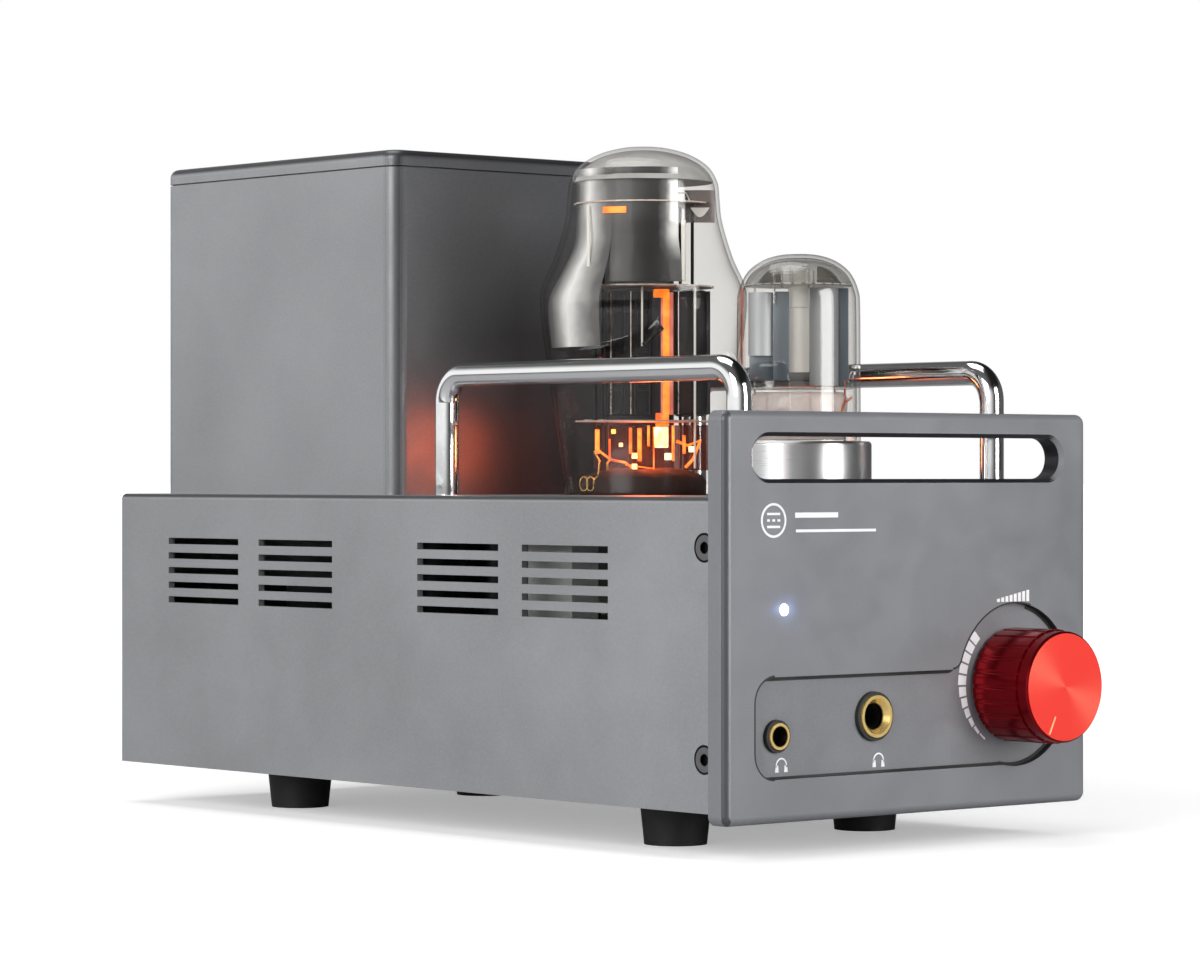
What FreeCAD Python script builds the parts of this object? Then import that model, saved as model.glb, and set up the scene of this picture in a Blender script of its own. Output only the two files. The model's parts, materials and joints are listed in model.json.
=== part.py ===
"""Desktop tube headphone amplifier, as a parametric document in millimetres.

Row frame: the origin is on the floor under the middle of the machine.
+X points right and +Y points back as the front is faced, and +Z points up.
"""
import FreeCAD, Part
import math
import os
import re
import Sketcher

# ---------------------------------------------------------------- sizes

total_depth = 290.0
knob_reach = 17.5
jack_reach = 10.0
face_y = knob_reach - total_depth / 2
rear_y = total_depth / 2 - jack_reach
panel_thickness = 6.0
panel_rear_y = face_y + panel_thickness
shell_base = 11.8
shell_top = shell_base + 78.0
sheet_thickness = 2.0
ceiling = shell_top - sheet_thickness
floor_top = shell_base + sheet_thickness
board_base = 40.0
board_top = board_base + 1.6

SIZES = {
    # overall places
    "face_y": face_y,
    "rear_y": rear_y,
    "panel_rear_y": panel_rear_y,
    "knob_reach": knob_reach,
    "jack_reach": jack_reach,
    # front panel
    "panel_width": 130.0,
    "panel_height": 102.0,
    "panel_thickness": panel_thickness,
    "panel_base": 9.1,
    "panel_corner": 2.5,
    "panel_round": 2.0,
    "handle_length": 110.8,
    "handle_height": 10.6,
    "handle_z": 99.5,
    "handle_chamfer": 1.0,
    "recess_depth": 2.0,
    "recess_left": 54.7,
    "recess_top": 45.3,
    "recess_base": 20.0,
    "recess_corner": 6.5,
    "recess_neck": 3.5,
    "dial_radius": 21.2,
    # chassis shell and bottom
    "shell_width": 126.0,
    "shell_base": shell_base,
    "shell_top": shell_top,
    "shell_bend": 1.5,
    "sheet": sheet_thickness,
    "ceiling": ceiling,
    "floor_top": floor_top,
    "fit_gap": 0.1,
    "vent_length": 33.9,
    "vent_height": 1.8,
    "vent_pitch": 4.2,
    "vent_z": 67.9,
    "vent_y": face_y + 62.6,
    "vent_pair": 43.5,
    "vent_group": 114.8,
    "screw_radius": 1.5,
    "screw_hole": 1.6,
    "cap_radius": 2.75,
    "cap_height": 3.0,
    "key_flat": 2.5,
    "key_depth": 1.0,
    "running_gap": 0.05,
    "side_head_radius": 3.5,
    "side_head_height": 1.1,
    "side_screw_y": panel_rear_y + 3.6,
    "side_screw_low": 25.1,
    "side_screw_high": 77.3,
    "side_screw_length": 8.0,
    "bracket_side": 8.0,
    "bracket_base": 18.0,
    "bracket_height": 66.0,
    "bolt_low": 36.0,
    "bolt_high": 67.0,
    "bolt_bite": 3.0,
    "block_side": 9.0,
    "block_y": 112.0,
    # feet
    "foot_height": shell_base,
    "foot_top_radius": 9.4,
    "foot_base_radius": 8.15,
    "foot_well_radius": 4.0,
    "foot_well": 5.0,
    "foot_x": 34.2,
    "foot_front_y": face_y + 52.1,
    "foot_rear_y": face_y + 213.4,
    "pillar_flat": 5.5,
    # volume control
    "knob_x": 38.0,
    "knob_z": 40.7,
    "knob_radius": 14.8,
    "knob_back": 1.3,
    "knob_face_radius": 14.35,
    "knob_rim": 3.7,
    "knob_chamfer": 0.6,
    "knob_cavity_radius": 9.5,
    "knob_cavity": 5.0,
    "knob_bore": 3.03,
    "knob_bore_depth": 15.5,
    "flute_radius": 0.8,
    "flute_inset": 0.3,
    "grub_radius": 1.5,
    "grub_length": 6.0,
    "grub_y": -7.5,
    "grub_key_flat": 1.5,
    "grub_key_depth": 2.0,
    "pot_shaft_radius": 3.0,
    "pot_shaft_front": -13.5,
    "pot_bush_radius": 3.5,
    "pot_bush_bore": 3.06,
    "pot_hole": 3.6,
    "pot_side": 17.0,
    "pot_depth": 11.0,
    "pot_nut_flat": 10.0,
    "pot_nut_height": 2.0,
    "wiper_radius": 6.0,
    "wiper_height": 2.0,
    "wiper_depth": 4.0,
    "wiper_gap": 0.5,
    "tag_width": 1.2,
    "tag_sheet": 0.4,
    "tag_length": 6.0,
    "tag_pitch": 5.0,
    # headphone jacks and lamp
    "jack_x": -12.3,
    "jack_z": 34.3,
    "jack_hole": 6.3,
    "jack_neck": 6.2,
    "jack_bore": 3.25,
    "jack_ring": 5.35,
    "jack_funnel": 4.55,
    "jack_side": 16.0,
    "jack_length": 30.0,
    "mini_x": -46.1,
    "mini_z": 30.6,
    "mini_hole": 4.15,
    "mini_neck": 4.05,
    "mini_bore": 1.8,
    "mini_ring": 3.3,
    "mini_funnel": 2.4,
    "mini_side": 10.0,
    "mini_length": 14.0,
    "neck_front": 0.9,
    "ring_front": 0.3,
    "ring_seat": 2.8,
    "funnel_depth": 1.6,
    "lamp_x": -45.0,
    "lamp_z": 61.9,
    "lamp_radius": 1.5,
    "lamp_hole": 1.55,
    "lamp_depth": 7.0,
    # guard rails
    "rail_x": 45.4,
    "rail_radius": 3.25,
    "rail_hole": 3.4,
    "rail_front_y": face_y + 15.8,
    "rail_rear_y": face_y + 132.3,
    "rail_top": 125.5,
    "rail_bend": 7.5,
    "rail_tail": 8.0,
    "rail_nut_flat": 10.0,
    "rail_nut_height": 4.0,
    # transformer cover
    "cover_half": 52.9,
    "cover_front_y": face_y + 146.5,
    "cover_rear_y": face_y + 254.8,
    "cover_middle": face_y + (146.5 + 254.8) / 2,
    "cover_top": 184.2,
    "cover_seam": 179.4,
    "seam_gap": 0.4,
    "cover_wall": 1.5,
    "cover_corner": 5.0,
    "cover_round": 2.5,
    "cap_lip": 4.0,
    "cover_block": 8.0,
    # transformer
    "core_width": 96.0,
    "core_height": 80.0,
    "core_stack": 46.0,
    "core_limb": 32.0,
    "core_window": 16.0,
    "core_window_height": 48.0,
    "strap_sheet": 1.5,
    "strap_foot": 10.0,
    "coil_bulge": 12.0,
    "coil_gap": 0.4,
    "coil_corner": 6.0,
    "lead_hole": 6.0,
    "lead_hole_x": 30.0,
    "lead_hole_y": 116.0,
    "lead_radius": 0.9,
    "lead_circle": 2.4,
    "lead_height": 12.0,
    # power tube
    "power_y": face_y + 103.2,
    "power_hole": 23.0,
    "power_top": 184.7,
    "power_dome": 20.7,
    "power_bulge": 28.3,
    "power_neck": 20.0,
    "power_glass_foot": 80.0,
    "power_base_top": 84.0,
    "power_base_foot": 62.0,
    "power_base_radius": 20.5,
    "power_mica": 19.0,
    "power_plate_width": 10.0,
    "power_plate_depth": 19.0,
    "power_plate_x": 5.1,
    "power_stem": 16.0,
    "getter_radius": 9.5,
    "getter_height": 19.0,
    "heater_radius": 0.5,
    "heater_length": 7.0,
    # driver tube
    "driver_y": face_y + 42.0,
    "driver_hole": 17.3,
    "driver_top": 153.0,
    "driver_radius": 16.1,
    "driver_glass_foot": 99.0,
    "driver_base_top": 103.4,
    "driver_base_foot": 82.0,
    "driver_base_radius": 16.6,
    "driver_mica": 14.4,
    "driver_plate_width": 9.0,
    "driver_plate_depth": 14.0,
    "driver_plate_x": 5.0,
    "collar_radius": 19.1,
    "collar_bore": 17.3,
    "collar_top": 104.0,
    "collar_round": 1.0,
    # shared tube parts
    "glass_wall": 1.0,
    "crown_flat": 2.5,
    "tube_pin_radius": 1.19,
    "tube_pin_length": 11.0,
    "tube_pin_circle": 8.73,
    "spigot_radius": 4.0,
    "spigot_length": 13.0,
    "mica_thickness": 0.4,
    "plate_sheet": 0.5,
    "rod_radius": 0.6,
    "rod_x": 11.5,
    "key_rib": 1.6,
    "pin_bite": 4.0,
    "socket_radius": 14.5,
    "socket_height": 10.0,
    "socket_pin_hole": 1.3,
    "socket_key_hole": 4.3,
    "socket_ear": 19.0,
    "socket_bite": 5.0,
    "ear_width": 8.0,
    "ear_height": 3.0,
    "pillar_radius": 3.0,
    "board_base": board_base,
    "board_top": board_top,
    "board_half": 54.0,
    "board_front_y": -90.0,
    "board_rear_y": 84.0,
    "can_radius": 11.0,
    "can_height": 38.0,
    "film_width": 9.0,
    "film_depth": 17.8,
    "film_height": 36.0,
    "film_x": 44.0,
    "film_y": face_y + 85.4,
    "resistor_width": 6.0,
    "resistor_length": 22.0,
    "resistor_height": 7.0,
    "resistor_x": 32.0,
    "resistor_y": face_y + 108.0,
    "resistor_pitch": 8.0,
    "sink_x": 46.0,
    "sink_y": 56.0,
    "sink_sheet": 3.0,
    "sink_width": 34.0,
    "sink_height": 32.0,
    "fin_length": 12.0,
    "fin_sheet": 1.5,
    "fin_pitch": 6.5,
    # rear connectors
    "inlet_x": -34.0,
    "inlet_z": 45.0,
    "inlet_width": 27.0,
    "inlet_height": 36.0,
    "inlet_depth": 24.0,
    "inlet_flange": 2.5,
    "inlet_border": 3.0,
    "cavity_width": 24.4,
    "cavity_height": 16.4,
    "cavity_depth": 17.0,
    "cavity_z": 52.0,
    "blade_width": 2.0,
    "blade_height": 4.0,
    "drawer_width": 22.0,
    "drawer_height": 9.0,
    "drawer_depth": 22.0,
    "drawer_z": 35.0,
    "fuse_radius": 2.5,
    "fuse_length": 18.0,
    "fuse_y": rear_y - 8.0,
    "switch_x": 0.0,
    "switch_z": 45.0,
    "switch_width": 13.0,
    "switch_height": 19.0,
    "switch_depth": 16.0,
    "rocker_width": 9.0,
    "rocker_radius": 9.0,
    "rocker_axis_y": rear_y - 5.0,
    "rocker_pin": 1.0,
    "rocker_tail": 3.4,
    "rocker_gap": 0.3,
    "rocker_side_gap": 0.2,
    "switch_border": 1.0,
    "switch_flange": 1.5,
    "phono_left": 26.0,
    "phono_right": 48.0,
    "phono_low": 35.0,
    "phono_high": 57.0,
    "phono_radius": 4.15,
    "phono_bore": 1.65,
    "phono_flange": 6.0,
    "phono_thread": 3.0,
    "phono_wall": 1.2,
    "phono_tail": 5.0,
}

document = FreeCAD.newDocument("TubeAmplifier")
sheet = document.addObject("Spreadsheet::Sheet", "Sizes")
for row, (alias, number) in enumerate(SIZES.items(), start=1):
    sheet.set(f"A{row}", alias)
    sheet.set(f"B{row}", str(number))
    sheet.setAlias(f"B{row}", alias)
document.recompute()

# ---------------------------------------------------------------- helpers

NODES = []
TURN = {
    "x": FreeCAD.Rotation(FreeCAD.Vector(0, 1, 0), 90),
    "y": FreeCAD.Rotation(FreeCAD.Vector(1, 0, 0), -90),
    "z": FreeCAD.Rotation(),
}


def bound(text):
    """Point each cell name in an expression at the sheet."""
    return re.sub(r"[a-z_]+", lambda m: f"Sizes.{m.group()}" if m.group() in SIZES else m.group(), str(text))


def value(text):
    """Work an expression out as a number."""
    return float(sheet.evalExpression(bound(text)))


def bind(item, **sizes):
    """Bind properties of an object to expressions; x, y and z bind its place."""
    for name, text in sizes.items():
        target = f"Placement.Base.{name}" if name in ("x", "y", "z") else name
        item.setExpression(target, bound(text))
    return item


def node(label, item):
    """Name a finished sub-part and keep it for writing."""
    item.Label = label
    NODES.append(item)
    return item


def block(width, depth, height, x, y, z):
    """Box centred on x and y, standing on z."""
    item = document.addObject("Part::Box", "Block")
    bind(item, Length=width, Width=depth, Height=height)
    return bind(item, x=f"({x}) - ({width}) / 2", y=f"({y}) - ({depth}) / 2", z=z)


def slab(x_low, x_high, y_low, y_high, z_low, z_high):
    """Box between two opposite corners."""
    item = document.addObject("Part::Box", "Slab")
    bind(item, Length=f"({x_high}) - ({x_low})", Width=f"({y_high}) - ({y_low})")
    bind(item, Height=f"({z_high}) - ({z_low})")
    return bind(item, x=x_low, y=y_low, z=z_low)


def rod(radius, length, x, y, z, axis="z"):
    """Cylinder that starts at x, y, z and runs along a positive axis."""
    item = document.addObject("Part::Cylinder", "Rod")
    item.Placement = FreeCAD.Placement(FreeCAD.Vector(), TURN[axis])
    bind(item, Radius=radius, Height=length)
    return bind(item, x=x, y=y, z=z)


def cone(base_radius, top_radius, height, x, y, z):
    """Upright cone that stands on z."""
    item = document.addObject("Part::Cone", "Cone")
    bind(item, Radius1=base_radius, Radius2=top_radius, Height=height)
    return bind(item, x=x, y=y, z=z)


def hexagon(flat, height, x, y, z, axis="z"):
    """Six-sided prism, sized across its flats."""
    item = document.addObject("Part::Prism", "Hexagon")
    item.Polygon = 6
    item.Placement = FreeCAD.Placement(FreeCAD.Vector(), TURN[axis])
    bind(item, Circumradius=f"({flat}) / 2 / cos(30)", Height=height)
    return bind(item, x=x, y=y, z=z)


def join(items):
    """Fuse several solids into one."""
    item = document.addObject("Part::MultiFuse", "Join")
    item.Shapes = items
    return item


def cut(base, tools):
    """Take one or more solids away from a base."""
    item = document.addObject("Part::Cut", "Cut")
    item.Base = base
    item.Tool = tools[0] if len(tools) == 1 else join(tools)
    return item


def common(base, tool):
    """Keep what two solids share."""
    item = document.addObject("Part::Common", "Common")
    item.Base = base
    item.Tool = tool
    return item


def group(items):
    """Hold separate identical solids as one sub-part."""
    item = document.addObject("Part::Compound", "Group")
    item.Links = items
    return item


def new_body(name, x="0", y="0", z="0"):
    """PartDesign body at a place."""
    body = document.addObject("PartDesign::Body", name)
    return bind(body, x=x, y=y, z=z)


def sketch(body, role, offset="0"):
    """Sketch on one of the body's own origin planes."""
    plane = next(item for item in body.Origin.OriginFeatures if item.Role == role)
    item = body.newObject("Sketcher::SketchObject", "Outline")
    item.AttachmentSupport = [(plane, "")]
    item.MapMode = "FlatFace"
    item.setExpression("AttachmentOffset.Base.z", bound(offset))
    return item


def constrain(item, kind, *references, text):
    """Add a constraint whose size is an expression."""
    index = item.addConstraint(Sketcher.Constraint(kind, *references, value(text)))
    item.setExpression(f"Constraints[{index}]", bound(text))


def pin_point(item, curve, end, x, y):
    """Hold a point of a curve at expressions measured from the sketch origin."""
    for kind, text, axis in (("DistanceX", x, -2), ("DistanceY", y, -1)):
        if abs(value(text)) < 1e-9:
            item.addConstraint(Sketcher.Constraint("PointOnObject", curve, end, axis))
        else:
            constrain(item, kind, -1, 1, curve, end, text=text)


def circle(item, radius, x="0", y="0"):
    """Circle in a sketch."""
    shape = Part.Circle(FreeCAD.Vector(value(x), value(y), 0), FreeCAD.Vector(0, 0, 1), value(radius))
    curve = item.addGeometry(shape)
    constrain(item, "Radius", curve, text=radius)
    pin_point(item, curve, 3, x, y)


def arc_between(start, end, bend):
    """Arc from start to end; a positive bend turns left, a negative bend turns right."""
    radius = abs(bend)
    chord = end - start
    middle = (start + end) * 0.5
    rise = math.sqrt(max(radius ** 2 - chord.Length ** 2 / 4, 0.0))
    left = FreeCAD.Vector(-chord.y, chord.x, 0).normalize()
    centre = middle + left * rise * math.copysign(1, bend)
    first, last = (start, end) if bend > 0 else (end, start)
    low = math.atan2(first.y - centre.y, first.x - centre.x)
    high = math.atan2(last.y - centre.y, last.x - centre.x)
    if high < low:
        high += 2 * math.pi
    return Part.ArcOfCircle(Part.Circle(centre, FreeCAD.Vector(0, 0, 1), radius), low, high)


def outline(item, corners):
    """Closed outline of (x, y) or (x, y, bend) corners.

    A bend makes the stretch after that corner an arc of that radius,
    which turns left along the outline, or right where bend is negative.
    """
    points = [FreeCAD.Vector(value(corner[0]), value(corner[1]), 0) for corner in corners]
    curves = []
    for index, corner in enumerate(corners):
        start = points[index]
        end = points[(index + 1) % len(points)]
        if len(corner) == 3:
            bend = value(corner[2])
            curve = item.addGeometry(arc_between(start, end, bend))
            curves.append((curve, 1, 2) if bend > 0 else (curve, 2, 1))
        else:
            curves.append((item.addGeometry(Part.LineSegment(start, end)), 1, 2))
    for index, (curve, start, end) in enumerate(curves):
        before = curves[index - 1]
        item.addConstraint(Sketcher.Constraint("Coincident", before[0], before[2], curve, start))
        pin_point(item, curve, start, corners[index][0], corners[index][1])
        if len(corners[index]) == 3:
            constrain(item, "Radius", curve, text=f"abs({corners[index][2]})")


def rectangle(item, x_low, x_high, y_low, y_high):
    """Rectangle in a sketch."""
    outline(item, [(x_low, y_low), (x_high, y_low), (x_high, y_high), (x_low, y_high)])


def stadium(item, x, y, length, height):
    """Slot with round ends, lying along the sketch's x axis."""
    left = f"({x}) - ({length}) / 2 + ({height}) / 2"
    right = f"({x}) + ({length}) / 2 - ({height}) / 2"
    low = f"({y}) - ({height}) / 2"
    high = f"({y}) + ({height}) / 2"
    end = f"({height}) / 2 + 0.0001"
    outline(item, [(left, low), (right, low, end), (right, high), (left, high, end)])


def pad(body, item, length):
    """Pad a sketch along its normal."""
    feature = body.newObject("PartDesign::Pad", "Pad")
    feature.Profile = item
    bind(feature, Length=length)
    document.recompute()
    return feature


def pocket(body, item, length, reverse=False):
    """Pocket a sketch and make sure that it removed material."""
    before = body.Tip.Shape.Volume
    feature = body.newObject("PartDesign::Pocket", "Pocket")
    feature.Profile = item
    feature.Reversed = reverse
    bind(feature, Length=length)
    document.recompute()
    if feature.Shape.Volume >= before:
        raise RuntimeError(f"{body.Name}: a pocket removed nothing")
    return feature


def revolve(body, item):
    """Revolve a sketch about its vertical axis."""
    feature = body.newObject("PartDesign::Revolution", "Revolution")
    feature.Profile = item
    feature.ReferenceAxis = (item, ["V_Axis"])
    feature.Angle = 360
    document.recompute()
    return feature


def soften(body, kind, size, chosen):
    """Fillet or chamfer the edges of the tip that the chosen function accepts."""
    tip = body.Tip
    names = [f"Edge{index}" for index, edge in enumerate(tip.Shape.Edges, start=1) if chosen(edge)]
    if not names:
        raise RuntimeError(f"{body.Name}: no edge to soften")
    feature = body.newObject(f"PartDesign::{kind}", kind)
    feature.Base = (tip, names)
    bind(feature, **{"Radius" if kind == "Fillet" else "Size": size})
    document.recompute()
    return feature


def near(one, other):
    """True where two lengths agree."""
    return abs(one - other) < 0.02


def runs_along(edge, axis):
    """True for a straight edge along x, y or z."""
    box = edge.BoundBox
    spans = {"x": box.XLength, "y": box.YLength, "z": box.ZLength}
    others = [span for name, span in spans.items() if name != axis]
    return spans[axis] > 0.5 and max(others) < 0.01


def at_height(edge, axis, text):
    """True for an edge that lies wholly in one plane across an axis."""
    low = {"x": edge.BoundBox.XMin, "y": edge.BoundBox.YMin, "z": edge.BoundBox.ZMin}[axis]
    high = {"x": edge.BoundBox.XMax, "y": edge.BoundBox.YMax, "z": edge.BoundBox.ZMax}[axis]
    return near(low, value(text)) and near(high, value(text))


def cap_screw(x, y, z, length, axis="z", head=1):
    """Socket cap screw whose shank starts at x, y, z; head is -1 below the start, +1 above the end."""
    place = {"x": x, "y": y, "z": z}
    head_place = dict(place)
    shift = "-cap_height" if head < 0 else f"({length})"
    head_place[axis] = f"({place[axis]}) + ({shift})"
    socket_place = dict(head_place)
    socket_place[axis] = f"({head_place[axis]}) + " + ("-0.01" if head < 0 else "cap_height / 2 + 0.01")
    shank = rod("screw_radius", length, axis=axis, **place)
    cap = rod("cap_radius", "cap_height", axis=axis, **head_place)
    socket = hexagon("key_flat", "cap_height / 2", axis=axis, **socket_place)
    return cut(join([shank, cap]), [socket])


SIDES = ("-1", "1")

# ---------------------------------------------------------------- front panel

FIXING_HEIGHTS = ("bolt_low", "bolt_high")


def front_panel():
    """Thick plate with a carrying slot, a key-hole recess and the control holes."""
    body = new_body("FrontPanel", y="face_y")
    plate = sketch(body, "XZ_Plane", "-panel_thickness")
    rectangle(plate, "-panel_width / 2", "panel_width / 2", "panel_base", "panel_base + panel_height")
    pad(body, plate, "panel_thickness")
    soften(body, "Fillet", "panel_corner", lambda edge: runs_along(edge, "y"))
    soften(body, "Fillet", "panel_round", lambda edge: at_height(edge, "y", "0"))
    handle = sketch(body, "XZ_Plane")
    stadium(handle, "0", "handle_z", "handle_length", "handle_height")
    pocket(body, handle, "panel_thickness")
    handle_low = value("handle_z - handle_height")
    handle_high = value("handle_z + handle_height")
    handle_reach = value("handle_length / 2 + 1")
    soften(body, "Chamfer", "handle_chamfer",
           lambda edge: at_height(edge, "y", "0") and handle_low < edge.BoundBox.ZMin
           and edge.BoundBox.ZMax < handle_high and edge.BoundBox.XMax < handle_reach)
    tray = sketch(body, "XZ_Plane")
    outline(tray, [
        ("-recess_left + recess_corner", "recess_base"),
        ("knob_x", "recess_base"),
        ("knob_x", "recess_top"),
        ("-recess_left + recess_corner", "recess_top", "recess_corner"),
        ("-recess_left", "recess_top - recess_corner"),
        ("-recess_left", "recess_base + recess_corner", "recess_corner"),
    ])
    pocket(body, tray, "recess_depth")
    dial = sketch(body, "XZ_Plane")
    circle(dial, "dial_radius", "knob_x", "knob_z")
    pocket(body, dial, "recess_depth")
    soften(body, "Fillet", "recess_neck",
           lambda edge: runs_along(edge, "y") and at_height(edge, "z", "recess_top")
           and edge.BoundBox.XMin > 0)
    holes = sketch(body, "XZ_Plane")
    circle(holes, "pot_hole", "knob_x", "knob_z")
    circle(holes, "jack_hole", "jack_x", "jack_z")
    circle(holes, "mini_hole", "mini_x", "mini_z")
    circle(holes, "lamp_hole", "lamp_x", "lamp_z")
    pocket(body, holes, "panel_thickness")
    taps = sketch(body, "XZ_Plane", "-panel_thickness")
    for side in SIDES:
        for height in FIXING_HEIGHTS:
            circle(taps, "screw_hole", f"{side} * (shell_width / 2 - sheet - bracket_side / 2)", height)
    pocket(body, taps, "bolt_bite + 0.5", reverse=True)
    return node("front_panel", body)


# ---------------------------------------------------------------- chassis

VENT_GROUPS = ("vent_y", "vent_y + vent_pair", "vent_y + vent_group", "vent_y + vent_group + vent_pair")
VENT_ROWS = (-2, -1, 0, 1, 2)
RAIL_POSTS = ("rail_front_y", "rail_rear_y")
FEET = [(f"{side} * foot_x", y) for side in SIDES for y in ("foot_front_y", "foot_rear_y")]
BLOCKS = [(f"{side} * (shell_width / 2 - sheet - block_side / 2)", y) for side in SIDES
          for y in ("-block_y + 18", "block_y")]
COVER_BLOCKS = [(f"{side} * (cover_half - cover_wall - fit_gap - cover_block / 2)", y) for side in SIDES
                for y in ("cover_front_y + cover_wall + fit_gap + cover_block / 2",
                          "cover_rear_y - cover_wall - fit_gap - cover_block / 2")]
STANDOFFS = [(f"{side} * (board_half - 5)", y) for side in SIDES
             for y in ("board_front_y + 6", "(board_front_y + board_rear_y) / 2 - 12", "board_rear_y - 6")]
CORE_BOLTS = [(f"{side} * (core_width - core_window) / 2",
               f"cover_middle + {end} * (core_stack / 2 + strap_sheet + strap_foot / 2)")
              for side in SIDES for end in SIDES]
PHONO = [(x, z) for x in ("phono_left", "phono_right") for z in ("phono_low", "phono_high")]


def chassis_shell():
    """Folded sheet box, open below and in front, with vents and connector openings."""
    body = new_body("ChassisShell")
    solid = sketch(body, "XZ_Plane", "-rear_y")
    rectangle(solid, "-shell_width / 2", "shell_width / 2", "shell_base", "shell_top")
    pad(body, solid, "rear_y - panel_rear_y")
    rear, top, base, front = value("rear_y"), value("shell_top"), value("shell_base"), value("panel_rear_y")
    soften(body, "Fillet", "shell_bend",
           lambda edge: (near(edge.BoundBox.ZMin, top) or near(edge.BoundBox.YMin, rear))
           and not at_height(edge, "y", "panel_rear_y") and not near(edge.BoundBox.ZMax, base))
    hollow = sketch(body, "XZ_Plane", "-panel_rear_y")
    rectangle(hollow, "-shell_width / 2 + sheet", "shell_width / 2 - sheet", "shell_base - 1", "ceiling")
    pocket(body, hollow, "rear_y - sheet - panel_rear_y")
    vents = sketch(body, "YZ_Plane", "shell_width")
    for centre in VENT_GROUPS:
        for line in VENT_ROWS:
            level = f"vent_z + {line} * vent_pitch"
            rectangle(vents, f"{centre} - vent_length / 2", f"{centre} + vent_length / 2",
                      f"{level} - vent_height / 2", f"{level} + vent_height / 2")
    pocket(body, vents, "2 * shell_width")
    fixings = sketch(body, "YZ_Plane", "shell_width")
    for height in ("side_screw_low", "side_screw_high"):
        circle(fixings, "screw_hole", "side_screw_y", height)
    pocket(body, fixings, "2 * shell_width")
    for side in SIDES:
        sinks = sketch(body, "YZ_Plane", f"{side} * shell_width / 2")
        for height in ("side_screw_low", "side_screw_high"):
            circle(sinks, "side_head_radius + 0.2", "side_screw_y", height)
        pocket(body, sinks, "side_head_height + fit_gap", reverse=side == "-1")
    tops = sketch(body, "XY_Plane", "shell_top + 1")
    circle(tops, "driver_hole", "0", "driver_y")
    circle(tops, "power_hole", "0", "power_y")
    circle(tops, "lead_hole", "lead_hole_x", "lead_hole_y")
    for side in SIDES:
        for post in RAIL_POSTS:
            circle(tops, "rail_hole", f"{side} * rail_x", post)
    for x, y in COVER_BLOCKS + CORE_BOLTS:
        circle(tops, "screw_hole", x, y)
    pocket(body, tops, "sheet + 2")
    rears = sketch(body, "XZ_Plane", "-(rear_y - sheet - 1)")
    rectangle(rears, "inlet_x - inlet_width / 2 - fit_gap", "inlet_x + inlet_width / 2 + fit_gap",
              "inlet_z - inlet_height / 2 - fit_gap", "inlet_z + inlet_height / 2 + fit_gap")
    rectangle(rears, "switch_x - switch_width / 2 - fit_gap", "switch_x + switch_width / 2 + fit_gap",
              "switch_z - switch_height / 2 - fit_gap", "switch_z + switch_height / 2 + fit_gap")
    for x, z in PHONO:
        circle(rears, "phono_thread + fit_gap", x, z)
    pocket(body, rears, "sheet + 2")
    return node("chassis_shell", body)


def bottom_plate():
    """Flat plate between the side walls, drilled for feet, blocks and board pillars."""
    body = new_body("BottomPlate")
    plate = sketch(body, "XY_Plane", "shell_base")
    rectangle(plate, "-shell_width / 2 + sheet + fit_gap", "shell_width / 2 - sheet - fit_gap",
              "panel_rear_y + fit_gap", "rear_y - sheet - fit_gap")
    pad(body, plate, "sheet")
    holes = sketch(body, "XY_Plane", "floor_top + 1")
    for x, y in FEET + BLOCKS + STANDOFFS:
        circle(holes, "screw_hole", x, y)
    pocket(body, holes, "sheet + 2")
    seats = sketch(body, "XY_Plane", "shell_base")
    for x, y in BLOCKS:
        circle(seats, "cap_radius + 2 * fit_gap", x, y)
    pocket(body, seats, "side_head_height + fit_gap", reverse=True)
    return node("bottom_plate", body)


def front_brackets():
    """Bars in the front corners that tie the panel to the side walls."""
    bars = []
    for side in SIDES:
        centre = f"{side} * (shell_width / 2 - sheet - bracket_side / 2)"
        bar = block("bracket_side", "bracket_side", "bracket_height", centre,
                    "panel_rear_y + bracket_side / 2", "bracket_base")
        start = f"{centre} - bracket_side / 2 - 1"
        holes = [rod("screw_hole", "bracket_side + 2", start, "side_screw_y", height, "x")
                 for height in ("side_screw_low", "side_screw_high")]
        holes += [rod("screw_hole", "bracket_side + 2", centre, "panel_rear_y - 1", height, "y")
                  for height in FIXING_HEIGHTS]
        bars.append(cut(bar, holes))
    return node("front_brackets", group(bars))


def cap_screws():
    """Every socket cap screw: panel, board, sockets, housing, transformer and feet."""
    screws = []
    for side in SIDES:
        for height in FIXING_HEIGHTS:
            screws.append(cap_screw(f"{side} * (shell_width / 2 - sheet - bracket_side / 2)",
                                    "panel_rear_y - bolt_bite", height, "bracket_side + bolt_bite", "y"))
    for x, y in COVER_BLOCKS:
        screws.append(cap_screw(x, y, "ceiling", "sheet + cover_block - 2", head=-1))
    for x, y in CORE_BOLTS:
        screws.append(cap_screw(x, y, "ceiling - 3", "sheet + strap_sheet + 3"))
    for x, y in FEET:
        screws.append(cap_screw(x, y, "foot_well", "shell_base - foot_well + sheet + 2", head=-1))
    for x, y in STANDOFFS:
        screws.append(cap_screw(x, y, "board_base - 6", "board_top - board_base + 6"))
    for y, top in SOCKETS:
        for side in SIDES:
            screws.append(cap_screw(f"{side} * socket_ear", y, f"{top} - socket_height - socket_bite",
                                    "socket_bite + ear_height"))
    return node("cap_screws", group(screws))


def plate_screws():
    """Flat-headed socket screws let into the bottom plate, into the corner blocks."""
    screws = []
    for x, y in BLOCKS:
        head = rod("cap_radius", "side_head_height", x, y, "shell_base")
        shank = rod("screw_radius", "sheet + block_side - 1", x, y, "shell_base")
        socket = hexagon("key_flat", "key_depth", x, y, "shell_base - 0.2")
        screws.append(cut(join([head, shank]), [socket]))
    return node("plate_screws", group(screws))


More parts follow.
